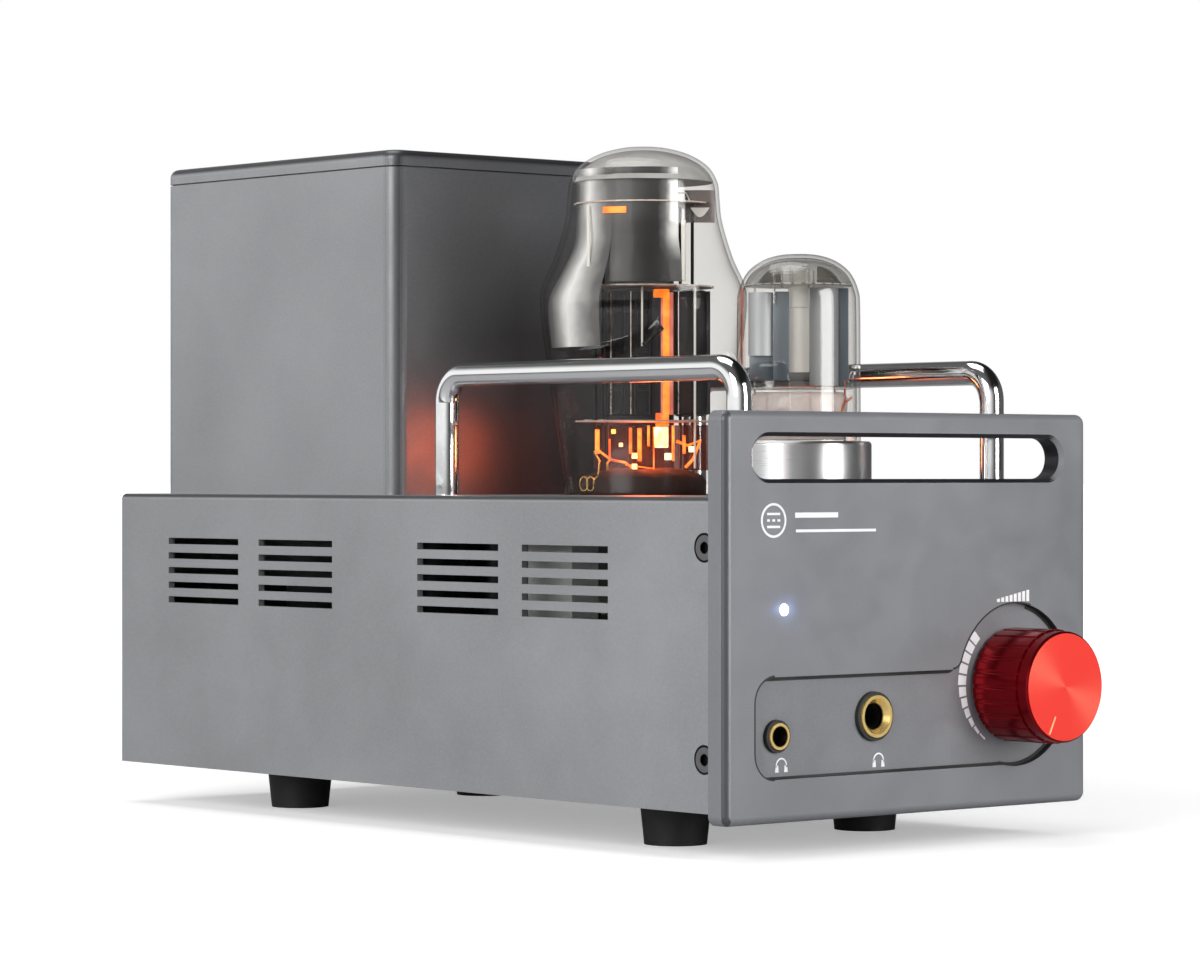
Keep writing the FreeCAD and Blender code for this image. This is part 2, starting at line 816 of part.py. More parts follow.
def fixing_blocks():
    """Tapped blocks in the corners of the chassis and of the transformer housing."""
    blocks = []
    for x, y in BLOCKS:
        base = block("block_side", "block_side", "block_side", x, y, "floor_top")
        blocks.append(cut(base, [rod("screw_hole", "block_side + 2", x, y, "floor_top - 1")]))
    for x, y in COVER_BLOCKS:
        base = block("cover_block", "cover_block", "cover_block", x, y, "shell_top")
        rim = rod("cover_block / 2 * 1.05", "cover_block", x, y, "shell_top")
        hole = rod("screw_hole", "cover_block + 1", x, y, "shell_top - 0.5")
        blocks.append(cut(common(base, rim), [hole]))
    return node("fixing_blocks", group(blocks))


def side_screws():
    """Flat-headed socket screws through the side walls into the bars."""
    screws = []
    for side, head_start, shank_start in (("-1", "-shell_width / 2", "-shell_width / 2 + side_head_height"),
                                          ("1", "shell_width / 2 - side_head_height",
                                           "shell_width / 2 - side_head_height - side_screw_length")):
        for height in ("side_screw_low", "side_screw_high"):
            head = rod("side_head_radius", "side_head_height", head_start, "side_screw_y", height, "x")
            shank = rod("screw_radius", "side_screw_length", shank_start, "side_screw_y", height, "x")
            mouth = f"{side} * (shell_width / 2 + 0.2) - (1 + {side}) / 2 * key_depth"
            socket = hexagon("key_flat", "key_depth", mouth, "side_screw_y", height, "x")
            screws.append(cut(join([head, shank]), [socket]))
    return node("side_screws", group(screws))


def feet():
    """Tapered rubber feet with a well for the screw."""
    items = []
    for x, y in FEET:
        base = cone("foot_base_radius", "foot_top_radius", "foot_height", x, y, "0")
        well = rod("foot_well_radius", "foot_well", x, y, "0")
        hole = rod("screw_hole", "foot_height", x, y, "0")
        items.append(cut(base, [well, hole]))
    return node("feet", group(items))


# ---------------------------------------------------------------- guard rails

def guard_rail(label, side):
    """Bent round bar that stands on two posts and runs front to back."""
    body = new_body("GuardRail", x=f"{side} * rail_x")
    level = "rail_top - rail_radius"
    start = "ceiling - rail_tail"
    path = sketch(body, "YZ_Plane")
    points = [
        ("rail_front_y", start),
        ("rail_front_y", f"{level} - rail_bend"),
        ("rail_front_y + rail_bend", level),
        ("rail_rear_y - rail_bend", level),
        ("rail_rear_y", f"{level} - rail_bend"),
        ("rail_rear_y", start),
    ]
    places = [FreeCAD.Vector(value(y), value(z), 0) for y, z in points]
    for index in range(len(points) - 1):
        if index in (1, 3):
            curve = path.addGeometry(arc_between(places[index], places[index + 1], -value("rail_bend")))
            constrain(path, "Radius", curve, text="rail_bend")
            first, last = 2, 1
        else:
            curve = path.addGeometry(Part.LineSegment(places[index], places[index + 1]))
            first, last = 1, 2
        if index:
            path.addConstraint(Sketcher.Constraint("Coincident", index - 1, previous, curve, first))
        pin_point(path, curve, first, *points[index])
        previous = last
    pin_point(path, len(points) - 2, previous, *points[-1])
    ring = sketch(body, "XY_Plane", start)
    circle(ring, "rail_radius", "0", "rail_front_y")
    pipe = body.newObject("PartDesign::AdditivePipe", "Pipe")
    pipe.Profile = ring
    pipe.Spine = (path, [f"Edge{index}" for index in range(1, len(points))])
    document.recompute()
    return node(label, body)


def rail_nuts():
    """Nuts under the chassis top that hold the rails."""
    nuts = []
    for side in SIDES:
        for post in RAIL_POSTS:
            place = (f"{side} * rail_x", post, "ceiling - rail_nut_height")
            nut = hexagon("rail_nut_flat", "rail_nut_height", *place)
            bore = rod("rail_radius + running_gap", "rail_nut_height", *place)
            nuts.append(cut(nut, [bore]))
    return node("rail_nuts", group(nuts))


# ---------------------------------------------------------------- transformer housing

def transformer_cover():
    """Four-sided sleeve with rounded corners that stands on the chassis."""
    body = new_body("TransformerCover")
    outer = sketch(body, "XY_Plane", "shell_top")
    rectangle(outer, "-cover_half", "cover_half", "cover_front_y", "cover_rear_y")
    pad(body, outer, "cover_seam - shell_top")
    soften(body, "Fillet", "cover_corner", lambda edge: runs_along(edge, "z"))
    inner = sketch(body, "XY_Plane", "cover_seam")
    rectangle(inner, "-cover_half + cover_wall", "cover_half - cover_wall",
              "cover_front_y + cover_wall", "cover_rear_y - cover_wall")
    pocket(body, inner, "cover_seam - shell_top")
    inside = value("cover_half - cover_wall")
    soften(body, "Fillet", "cover_corner - cover_wall",
           lambda edge: runs_along(edge, "z") and near(abs(edge.BoundBox.XMin), inside))
    return node("transformer_cover", body)


def cover_cap():
    """Lid of the transformer housing, with a lip that drops into the sleeve."""
    body = new_body("CoverCap")
    outer = sketch(body, "XY_Plane", "cover_seam + seam_gap")
    rectangle(outer, "-cover_half", "cover_half", "cover_front_y", "cover_rear_y")
    pad(body, outer, "cover_top - cover_seam - seam_gap")
    soften(body, "Fillet", "cover_corner", lambda edge: runs_along(edge, "z"))
    soften(body, "Fillet", "cover_round", lambda edge: at_height(edge, "z", "cover_top"))
    lip = sketch(body, "XY_Plane", "cover_seam - cap_lip")
    inset = "cover_wall + fit_gap"
    corner = "cover_corner - cover_wall"
    left = f"-cover_half + {inset}"
    right = f"cover_half - ({inset})"
    front = f"cover_front_y + {inset}"
    back = f"cover_rear_y - ({inset})"
    outline(lip, [
        (f"{left} + {corner}", front), (f"{right} - ({corner})", front, corner),
        (right, f"{front} + {corner}"), (right, f"{back} - ({corner})", corner),
        (f"{right} - ({corner})", back), (f"{left} + {corner}", back, corner),
        (left, f"{back} - ({corner})"), (left, f"{front} + {corner}", corner),
    ])
    pad(body, lip, "cap_lip + seam_gap")
    return node("transformer_cap", body)


def transformer_core():
    """Stack of E and I plates: an outer frame with two windows round a middle limb."""
    base = "shell_top + strap_sheet"
    core = block("core_width", "core_stack", "core_height", "0", "cover_middle", base)
    windows = []
    for side in SIDES:
        windows.append(block("core_window", "core_stack + 2", "core_window_height",
                             f"{side} * (core_limb + core_window) / 2", "cover_middle",
                             f"{base} + (core_height - core_window_height) / 2"))
    return node("transformer_core", cut(core, windows))


def transformer_coil():
    """Wound coil on its former round the middle limb."""
    base = "shell_top + strap_sheet + (core_height - core_window_height) / 2 + coil_gap"
    height = "core_window_height - 2 * coil_gap"
    width = "core_limb / 2 + core_window - coil_gap"
    reach = "core_stack / 2 + coil_bulge"
    body = new_body("Coil", y="cover_middle")
    outer = sketch(body, "XY_Plane", base)
    rectangle(outer, f"-({width})", width, f"-({reach})", reach)
    pad(body, outer, height)
    soften(body, "Fillet", "coil_corner", lambda edge: runs_along(edge, "z"))
    hole = sketch(body, "XY_Plane", f"{base} + {height}")
    rectangle(hole, "-core_limb / 2 - coil_gap", "core_limb / 2 + coil_gap",
              "-core_stack / 2 - coil_gap", "core_stack / 2 + coil_gap")
    pocket(body, hole, height)
    return node("transformer_coil", body)


def transformer_straps():
    """Angle feet on both faces of the core."""
    straps = []
    for side in SIDES:
        face = f"cover_middle + {side} * (core_stack / 2 + strap_sheet / 2)"
        foot = f"cover_middle + {side} * (core_stack / 2 + strap_sheet + strap_foot / 2)"
        upright = block("core_width", "strap_sheet", "(core_height - core_window_height) / 2 + strap_sheet",
                        "0", face, "shell_top")
        flange = block("core_width", "strap_foot", "strap_sheet", "0", foot, "shell_top")
        holes = [rod("screw_hole", "strap_sheet + 2", f"{end} * (core_width - core_window) / 2", foot,
                     "shell_top - 1") for end in SIDES]
        straps.append(cut(join([upright, flange]), holes))
    return node("transformer_straps", group(straps))


def lead_grommet():
    """Rubber ring that protects the leads where they pass the chassis top."""
    sleeve = rod("lead_hole - fit_gap", "sheet + 2", "lead_hole_x", "lead_hole_y", "ceiling - 1")
    flanges = [rod("lead_hole + 1.5", "1", "lead_hole_x", "lead_hole_y", z)
               for z in ("ceiling - 1", "shell_top")]
    bore = rod("lead_hole - 2", "sheet + 4", "lead_hole_x", "lead_hole_y", "ceiling - 2")
    return node("lead_grommet", cut(join([sleeve] + flanges), [bore]))


LEAD_TURNS = (30, 150, 270)


def transformer_leads():
    """Insulated leads that drop through the grommet on to the board."""
    leads = []
    for turn in LEAD_TURNS:
        x = f"lead_hole_x + lead_circle * {math.cos(math.radians(turn)):.6f}"
        y = f"lead_hole_y + lead_circle * {math.sin(math.radians(turn)):.6f}"
        leads.append(rod("lead_radius", "shell_top + lead_height - board_top", x, y, "board_top"))
    return node("transformer_leads", group(leads))


# ---------------------------------------------------------------- volume control

FLUTES = 24
POT_DECKS = ("3", "8")


def volume_knob():
    """Round fluted knob with a hollow back and a smaller, smooth front rim."""
    body = new_body("VolumeKnob", x="knob_x", y="face_y", z="knob_z")
    disc = sketch(body, "XZ_Plane", "-knob_back")
    circle(disc, "knob_radius")
    pad(body, disc, "knob_reach + knob_back - knob_rim")
    rim = sketch(body, "XZ_Plane", "knob_reach - knob_rim")
    circle(rim, "knob_face_radius")
    pad(body, rim, "knob_rim")
    soften(body, "Chamfer", "knob_chamfer", lambda edge: at_height(edge, "y", "-knob_reach"))
    flute = sketch(body, "XZ_Plane", "-knob_back")
    circle(flute, "flute_radius", "0", "knob_radius + flute_radius - flute_inset")
    groove = pocket(body, flute, "knob_reach + knob_back - knob_rim", reverse=True)
    flutes = body.newObject("PartDesign::PolarPattern", "Flutes")
    flutes.Originals = [groove]
    flutes.Axis = (flute, ["N_Axis"])
    flutes.Angle = 360
    flutes.Occurrences = FLUTES
    body.Tip = flutes
    document.recompute()
    hollow = sketch(body, "XZ_Plane", "-knob_back")
    circle(hollow, "knob_cavity_radius")
    pocket(body, hollow, "knob_cavity", reverse=True)
    bore = sketch(body, "XZ_Plane", "-knob_back")
    circle(bore, "knob_bore")
    pocket(body, bore, "knob_bore_depth", reverse=True)
    grub = sketch(body, "XY_Plane", "-knob_radius - 1")
    circle(grub, "grub_radius + running_gap", "0", "grub_y")
    pocket(body, grub, "knob_radius + 1", reverse=True)
    return node("volume_knob", body)


def knob_grub_screw():
    """Headless screw that clamps the knob on the shaft."""
    start = "knob_z - pot_shaft_radius - grub_length"
    stud = rod("grub_radius", "grub_length", "knob_x", "face_y + grub_y", start)
    socket = hexagon("grub_key_flat", "grub_key_depth", "knob_x", "face_y + grub_y", f"{start} - 0.01")
    return node("knob_grub_screw", cut(stud, [socket]))


def pot_shaft():
    """Turning shaft of the volume control, with a collar inside the body."""
    reach = "panel_thickness + wiper_depth + wiper_height - pot_shaft_front"
    shaft = rod("pot_shaft_radius", reach, "knob_x", "face_y + pot_shaft_front", "knob_z", "y")
    wiper = rod("wiper_radius", "wiper_height", "knob_x", "panel_rear_y + wiper_depth", "knob_z", "y")
    return node("pot_shaft", join([shaft, wiper]))


def pot_body():
    """Square body, threaded bush and solder tags of the volume control."""
    case = block("pot_side", "pot_depth", "pot_side", "knob_x", "panel_rear_y + pot_depth / 2",
                 "knob_z - pot_side / 2")
    bush = rod("pot_bush_radius", "panel_thickness + 0.4", "knob_x", "face_y - 0.4", "knob_z", "y")
    bore = rod("pot_bush_bore", "panel_thickness + 8", "knob_x", "face_y - 1", "knob_z", "y")
    room = rod("wiper_radius + 0.3", "wiper_height + 2 * wiper_gap", "knob_x",
               "panel_rear_y + wiper_depth - wiper_gap", "knob_z", "y")
    tags = []
    for deck in POT_DECKS:
        for step in (-1, 0, 1):
            tags.append(block("tag_width", "tag_sheet", "tag_length + 0.5", f"knob_x + {step} * tag_pitch",
                              f"panel_rear_y + {deck}", "knob_z - pot_side / 2 - tag_length"))
    return node("pot_body", cut(join([case, bush] + tags), [bore, room]))


def pot_nut():
    """Nut that holds the volume control to the panel, inside the knob's hollow."""
    place = ("knob_x", "face_y + recess_depth - pot_nut_height", "knob_z")
    nut = hexagon("pot_nut_flat", "pot_nut_height", *place, "y")
    return node("pot_nut", cut(nut, [rod("pot_bush_radius + running_gap", "pot_nut_height", *place, "y")]))


# ---------------------------------------------------------------- headphone jacks and lamp

def jack(name, kind):
    """Insulated jack body with its metal front ring, which opens out like a funnel."""
    bore, neck, ring, funnel = f"{kind}_bore", f"{kind}_neck", f"{kind}_ring", f"{kind}_funnel"
    side, length, x, z = f"{kind}_side", f"{kind}_length", f"{kind}_x", f"{kind}_z"
    case = block(side, length, side, x, f"panel_rear_y + {length} / 2", f"{z} - {side} / 2")
    barrel = rod(neck, "panel_thickness - neck_front", x, "face_y + neck_front", z, "y")
    hole = rod(bore, f"{length} + panel_thickness - 2", x, "face_y", z, "y")
    seat = rod(f"{ring} + 0.02", "ring_seat - neck_front", x, "face_y + neck_front", z, "y")
    node(f"{name}_body", cut(join([case, barrel]), [hole, seat]))
    bead = rod(ring, "ring_seat - ring_front", x, "face_y + ring_front", z, "y")
    through = rod(bore, "ring_seat", x, "face_y + ring_front - 0.1", z, "y")
    mouth = document.addObject("Part::Cone", "Funnel")
    mouth.Placement = FreeCAD.Placement(FreeCAD.Vector(), TURN["y"])
    bind(mouth, Radius1=funnel, Radius2=bore, Height="funnel_depth", x=x, y="face_y + ring_front", z=z)
    node(f"{name}_ring", cut(bead, [through, mouth]))


def power_lamp():
    """Round indicator lamp: a lens in the panel with a wider body behind it."""
    lens = rod("lamp_radius", "panel_thickness + 1", "lamp_x", "face_y", "lamp_z", "y")
    base = rod("lamp_radius + 1", "lamp_depth", "lamp_x", "panel_rear_y", "lamp_z", "y")
    return node("power_lamp", join([lens, base]))


# ---------------------------------------------------------------- tubes

TUBE_PINS = 8


def pin_ring(radius, length, y, z):
    """Eight pins or holes on the octal circle."""
    items = []
    for index in range(TUBE_PINS):
        turn = math.radians((index + 0.5) * 360 / TUBE_PINS)
        items.append(rod(radius, length, f"tube_pin_circle * {math.cos(turn):.6f}",
                         f"{y} + tube_pin_circle * {math.sin(turn):.6f}", z))
    return items


def tube_base(name, y, radius, foot, top, glass_foot, glass_radius):
    """Moulded octal base with a keyed spigot, and its pins."""
    cup = rod(radius, f"{top} - {foot}", "0", y, foot)
    well = rod(f"{glass_radius} + 0.1", f"{top} - {glass_foot} + 0.1", "0", y, glass_foot)
    hollow = rod(f"{radius} - 3", f"{glass_foot} - {foot} - 3", "0", y, f"{foot} + 3")
    spigot = rod("spigot_radius", "spigot_length + 1", "0", y, f"{foot} - spigot_length")
    key = block("key_rib", "key_rib", "spigot_length + 1", "0", f"{y} + spigot_radius",
                f"{foot} - spigot_length")
    node(f"{name}_base", cut(join([cut(cup, [well, hollow]), spigot, key]),
                             pin_ring("tube_pin_radius", "pin_bite + 1", y, f"{foot} - 1")))
    node(f"{name}_pins", group(pin_ring("tube_pin_radius", "tube_pin_length + pin_bite - 1", y,
                                        f"{foot} - tube_pin_length")))


def power_glass():
    """Shouldered bulb: flattened dome, straight neck, wide shoulder and a long taper."""
    body = new_body("PowerGlass", y="power_y")
    wall = sketch(body, "XZ_Plane")
    shoulder = "power_bulge - glass_wall"
    outline(wall, [
        ("0", "power_top"),
        ("0", "power_top - glass_wall"),
        ("crown_flat", "power_top - glass_wall", "-27"),
        ("13", "power_top - glass_wall - 2.15", "-9.2"),
        ("power_dome - glass_wall", "power_top - 11"),
        ("power_dome - glass_wall", "power_top - 17", "22"),
        ("power_dome - glass_wall + 3.2", "power_top - 28.2", "-14"),
        (shoulder, "power_top - 41", "-34"),
        ("power_bulge - glass_wall - 1.4", "power_top - 52"),
        ("power_neck - glass_wall", "power_glass_foot"),
        ("power_neck", "power_glass_foot"),
        ("power_bulge - 1.4", "power_top - 52", "35"),
        ("power_bulge", "power_top - 41", "15"),
        ("power_dome + 3.2", "power_top - 28.2", "-21"),
        ("power_dome", "power_top - 17"),
        ("power_dome", "power_top - 11", "10"),
        ("13.5", "power_top - 2.2", "29"),
        ("crown_flat", "power_top"),
    ])
    revolve(body, wall)
    return node("power_tube_glass", body)


def driver_glass():
    """Straight bulb with a flattened round top."""
    body = new_body("DriverGlass", y="driver_y")
    wall = sketch(body, "XZ_Plane")
    outline(wall, [
        ("0", "driver_top"),
        ("0", "driver_top - glass_wall"),
        ("crown_flat", "driver_top - glass_wall", "-16"),
        ("6.5", "driver_top - glass_wall - 0.7", "-10"),
        ("driver_radius - glass_wall", "driver_top - 11.5"),
        ("driver_radius - glass_wall", "driver_glass_foot"),
        ("driver_radius", "driver_glass_foot"),
        ("driver_radius", "driver_top - 11.5", "11"),
        ("6.8", "driver_top - 0.7", "17"),
        ("crown_flat", "driver_top"),
    ])
    revolve(body, wall)
    return node("driver_tube_glass", body)


def stem(name, y, radius, low, high):
    """Glass stem that carries the leads up from the base."""
    half = f"({high} - ({low})) / 2"
    flare = cone(radius, f"({radius}) / 2", half, "0", y, low)
    press = block(radius, f"({radius}) / 3", f"{half} + 1", "0", y, f"{low} + {half} - 1")
    node(f"{name}_stem", join([flare, press]))


def micas(name, y, radius, levels):
    """Mica discs that space the electrodes."""
    discs = []
    for level, size in levels:
        disc = rod(f"{radius} * {size}", "mica_thickness", "0", y, level)
        holes = [rod("rod_radius + running_gap", "mica_thickness + 2", f"{side} * rod_x", y, f"{level} - 1")
                 for side in SIDES]
        discs.append(cut(disc, holes))
    node(f"{name}_micas", group(discs))


def support_rods(name, y, low, high):
    """Two upright rods that carry the micas and plates."""
    rods = [rod("rod_radius", f"{high} - ({low})", f"{side} * rod_x", y, low) for side in SIDES]
    node(f"{name}_rods", group(rods))


def anode(width, depth, x, y, low, high):
    """Folded sheet plate, open above and below."""
    height = f"{high} - ({low})"
    outer = block(width, depth, height, x, y, low)
    inner = block(f"{width} - 2 * plate_sheet", f"{depth} - 2 * plate_sheet", f"{height} + 2", x, y,
                  f"{low} - 1")
    return cut(outer, [inner])


def power_electrodes():
    """Twin triode system of the power tube: tall plates, heater ends and the getter cylinder."""
    low, high = "power_top - 74", "power_top - 39"
    plates = [anode("power_plate_width", "power_plate_depth", f"{side} * power_plate_x", "power_y",
                    f"{low} + 0.6", f"{high} - 0.2") for side in SIDES]
    node("power_tube_anodes", group(plates))
    heaters = [rod("heater_radius", "heater_length", f"{side} * power_plate_x", "power_y",
                   f"{low} - heater_length - 0.5") for side in SIDES]
    node("power_tube_heaters", group(heaters))
    micas("power_tube", "power_y", "power_mica", [(low, "0.98"), (high, "1.02"), ("power_top - 16.5", "1")])
    support_rods("power_tube", "power_y", f"{low} - 8", "power_top - 15")
    upper = rod("getter_radius", "getter_height", "0", "power_y", "power_top - 36")
    hollow = rod("getter_radius - plate_sheet", "getter_height + 1", "0", "power_y", "power_top - 36.5")
    node("power_tube_getter", cut(upper, [hollow]))


def driver_electrodes():
    """Twin triode system of the driver tube."""
    low, high = "driver_top - 35.6", "driver_top - 10"
    plates = [anode("driver_plate_width", "driver_plate_depth", f"{side} * driver_plate_x", "driver_y",
                    f"{low} + 0.6", f"{high} - 0.2") for side in SIDES]
    node("driver_tube_anodes", group(plates))
    micas("driver_tube", "driver_y", "driver_mica", [(low, "1"), (high, "0.95")])
    support_rods("driver_tube", "driver_y", f"{low} - 6", f"{high} + 1.5")


def tube_collar():
    """Turned ring that stands round the driver tube."""
    body = new_body("TubeCollar", y="driver_y")
    wall = sketch(body, "XZ_Plane")
    rectangle(wall, "collar_bore", "collar_radius", "shell_top", "collar_top")
    revolve(body, wall)
    outer = value("collar_radius") - 0.1
    soften(body, "Fillet", "collar_round",
           lambda edge: at_height(edge, "z", "collar_top") and edge.BoundBox.XMax > outer)
    return node("tube_collar", body)


SOCKETS = (("driver_y", "driver_base_foot"), ("power_y", "power_base_foot"))


def tube_sockets():
    """Ceramic octal sockets with two ears each."""
    items = []
    for y, top in SOCKETS:
        base = f"{top} - socket_height"
        disc = rod("socket_radius", "socket_height", "0", y, base)
        ears = block("2 * socket_ear + ear_width", "ear_width", "ear_height", "0", y, base)
        holes = pin_ring("socket_pin_hole", "socket_height + 2", y, f"{base} - 1")
        holes.append(rod("socket_key_hole", "socket_height + 2", "0", y, f"{base} - 1"))
        holes.append(block("2", "2", "socket_height + 2", "0", f"{y} + socket_key_hole", f"{base} - 1"))
        holes += [rod("screw_hole", "ear_height + 2", f"{side} * socket_ear", y, f"{base} - 1")
                  for side in SIDES]
        items.append(cut(join([disc, ears]), holes))
    return node("tube_sockets", group(items))


def pillars():
    """Board pillars on the bottom plate, and socket pillars on the board."""
    items = []
    for x, y in STANDOFFS:
        pillar = hexagon("pillar_flat", "board_base - floor_top", x, y, "floor_top")
        items.append(cut(pillar, [rod("screw_hole", "board_base", x, y, "floor_top - 1")]))
    for y, top in SOCKETS:
        for side in SIDES:
            x = f"{side} * socket_ear"
            pillar = rod("pillar_radius", f"{top} - socket_height - board_top", x, y, "board_top")
            items.append(cut(pillar, [rod("screw_hole", "socket_bite + 1", x, y,
                                          f"{top} - socket_height - socket_bite - 1")]))
    return node("pillars", group(items))


# ---------------------------------------------------------------- electronics

def main_board():
    """Circuit board on pillars above the bottom plate."""
    board = slab("-board_half", "board_half", "board_front_y", "board_rear_y", "board_base", "board_top")
    holes = [rod("screw_hole", "board_top - board_base + 2", x, y, "board_base - 1") for x, y in STANDOFFS]
    return node("main_board", cut(board, holes))


CANS = [(x, y) for x in ("-38", "-13", "13") for y in ("22", "46")]


def filter_capacitors():
    """Tall can capacitors of the power supply."""
    cans = [rod("can_radius", "can_height", x, y, "board_top") for x, y in CANS]
    return node("filter_capacitors", group(cans))


def film_capacitors():
    """Box capacitors that couple the stages."""
    boxes = [block("film_width", "film_depth", "film_height", f"{side} * film_x", "film_y", "board_top")
             for side in SIDES]
    return node("film_capacitors", group(boxes))


def power_resistors():
    """Ceramic-cased resistors, side by side on the board."""
    bricks = []
    for side in SIDES:
        for step in (0, 1, 2):
            x = f"{side} * (resistor_x + {step} * resistor_pitch)"
            bricks.append(block("resistor_width", "resistor_length", "resistor_height", x, "resistor_y",
                                "board_top + 3"))
    return node("power_resistors", group(bricks))


FIN_STEPS = (-2.5, -1.5, -0.5, 0.5, 1.5, 2.5)


def heat_sink():
    """Finned block that cools the regulator."""
    back = block("sink_sheet", "sink_width", "sink_height", "sink_x", "sink_y", "board_top")
    fins = [block("fin_length", "fin_sheet", "sink_height", "sink_x - fin_length / 2 - 0.5",
                  f"sink_y + {step} * fin_pitch", "board_top") for step in FIN_STEPS]
    return node("heat_sink", join([back] + fins))


# ---------------------------------------------------------------- rear connectors

def mains_inlet():
    """Moulded mains inlet with a plug cavity above a fuse drawer slot."""
    inside = slab("inlet_x - inlet_width / 2", "inlet_x + inlet_width / 2",
                  "rear_y - inlet_depth", "rear_y",
                  "inlet_z - inlet_height / 2", "inlet_z + inlet_height / 2")
    border = slab("inlet_x - inlet_width / 2 - inlet_border", "inlet_x + inlet_width / 2 + inlet_border",
                  "rear_y", "rear_y + inlet_flange",
                  "inlet_z - inlet_height / 2 - inlet_border", "inlet_z + inlet_height / 2 + inlet_border")
    cavity = block("cavity_width", "cavity_depth + 1", "cavity_height", "inlet_x",
                   "rear_y + inlet_flange + 1 - (cavity_depth + 1) / 2", "cavity_z - cavity_height / 2")
    slot = block("drawer_width + 2 * fit_gap", "drawer_depth + 1", "drawer_height + 2 * fit_gap", "inlet_x",
                 "rear_y + inlet_flange + 1 - (drawer_depth + 1) / 2",
                 "drawer_z - drawer_height / 2 - fit_gap")
    return node("mains_inlet", cut(join([inside, border]), [cavity, slot]))


def inlet_pins():
    """Three flat pins in the plug cavity."""
    back = "rear_y + inlet_flange - cavity_depth"
    pins = []
    for dx, dz in (("-7", "-1"), ("7", "-1"), ("0", "3")):
        pins.append(block("blade_width", "cavity_depth - 3", "blade_height", f"inlet_x + {dx}",
                          f"{back} + (cavity_depth - 3) / 2", f"cavity_z + {dz} - blade_height / 2"))
    return node("inlet_pins", group(pins))


def fuse_drawer():
    """Drawer that slides straight back out of the inlet, with a trough for the fuse."""
    tray = block("drawer_width", "drawer_depth - 1", "drawer_height", "inlet_x",
                 "rear_y + inlet_flange - (drawer_depth - 1) / 2", "drawer_z - drawer_height / 2")
    grip = block("drawer_width - 6", "1.5", "2", "inlet_x", "rear_y + inlet_flange + 0.75", "drawer_z + 1.5")
    trough = block("fuse_length + 1", "2 * fuse_radius + 1", "drawer_height", "inlet_x", "fuse_y",
                   "drawer_z - fuse_radius - 0.1")
    node("fuse_drawer", cut(join([tray, grip]), [trough]))
    return node("mains_fuse", rod("fuse_radius", "fuse_length", "inlet_x - fuse_length / 2", "fuse_y",
                                  "drawer_z - 0.05", "x"))


ROCKER_TILT = 10.0
ROCKER_CORNERS = (
    ("-rocker_tail", 51.5),
    ("rocker_radius", -62.0),
    ("rocker_radius", 62.0),
    ("-rocker_tail", -51.5),
)


def power_switch():
    """Snap-in switch: a frame with a pivot pin, and a rocker that turns about the pin."""
    left, right = "switch_x - switch_width / 2", "switch_x + switch_width / 2"
    low, high = "switch_z - switch_height / 2", "switch_z + switch_height / 2"
    inside = slab(left, right, "rear_y - switch_depth", "rear_y", low, high)
    border = slab(f"{left} - switch_border", f"{right} + switch_border", "rear_y", "rear_y + switch_flange",
                  f"{low} - switch_border", f"{high} + switch_border")
    room_left = "switch_x - rocker_width / 2 - rocker_side_gap"
    room_right = "switch_x + rocker_width / 2 + rocker_side_gap"
    room = rod("rocker_radius + rocker_gap", "rocker_width + 2 * rocker_side_gap", room_left,
               "rocker_axis_y", "switch_z", "x")
    mouth = slab(room_left, room_right, "rocker_axis_y", "rear_y + 3",
                 "switch_z - rocker_radius - rocker_gap", "switch_z + rocker_radius + rocker_gap")
    pivot = rod("rocker_pin", "switch_width - 1", f"{left} + 0.5", "rocker_axis_y", "switch_z", "x")
    node("switch_frame", join([cut(join([inside, border]), [room, mouth]), pivot]))
    body = new_body("Rocker", x="switch_x - rocker_width / 2", y="rocker_axis_y", z="switch_z")
    paddle = sketch(body, "YZ_Plane")
    corners = []
    for reach, turn in ROCKER_CORNERS:
        angle = math.radians(turn + ROCKER_TILT)
        corners.append((f"{reach} * {math.cos(angle):.6f}", f"{reach} * {math.sin(angle):.6f}"))
    corners[1] += ("rocker_radius * 1.35",)
    outline(paddle, corners)
    pad(body, paddle, "rocker_width")
    hole = sketch(body, "YZ_Plane", "rocker_width")
    circle(hole, "rocker_pin + running_gap")
    pocket(body, hole, "rocker_width")
    return node("power_rocker", body)


def phono_jacks():
    """Line sockets: threaded metal shells and their insulated centre contacts."""
    shells, inserts = [], []
    for x, z in PHONO:
        sleeve = rod("phono_radius", "jack_reach", x, "rear_y", z, "y")
        flange = rod("phono_flange", "1.5", x, "rear_y", z, "y")
        thread = rod("phono_thread", "sheet + phono_tail", x, "rear_y - sheet - phono_tail", z, "y")
        well = rod("phono_bore + phono_wall", "jack_reach + sheet + phono_tail + 1", x,
                   "rear_y - sheet - phono_tail - 0.5", z, "y")
        shells.append(cut(join([sleeve, flange, thread]), [well]))
        insert = rod("phono_bore + phono_wall - running_gap", "jack_reach + sheet + phono_tail - 1", x,
                     "rear_y - sheet - phono_tail", z, "y")
        inserts.append(cut(insert, [rod("phono_bore", "jack_reach + 1", x, "rear_y", z, "y")]))
    node("phono_shells", group(shells))
    node("phono_inserts", group(inserts))


# ---------------------------------------------------------------- build

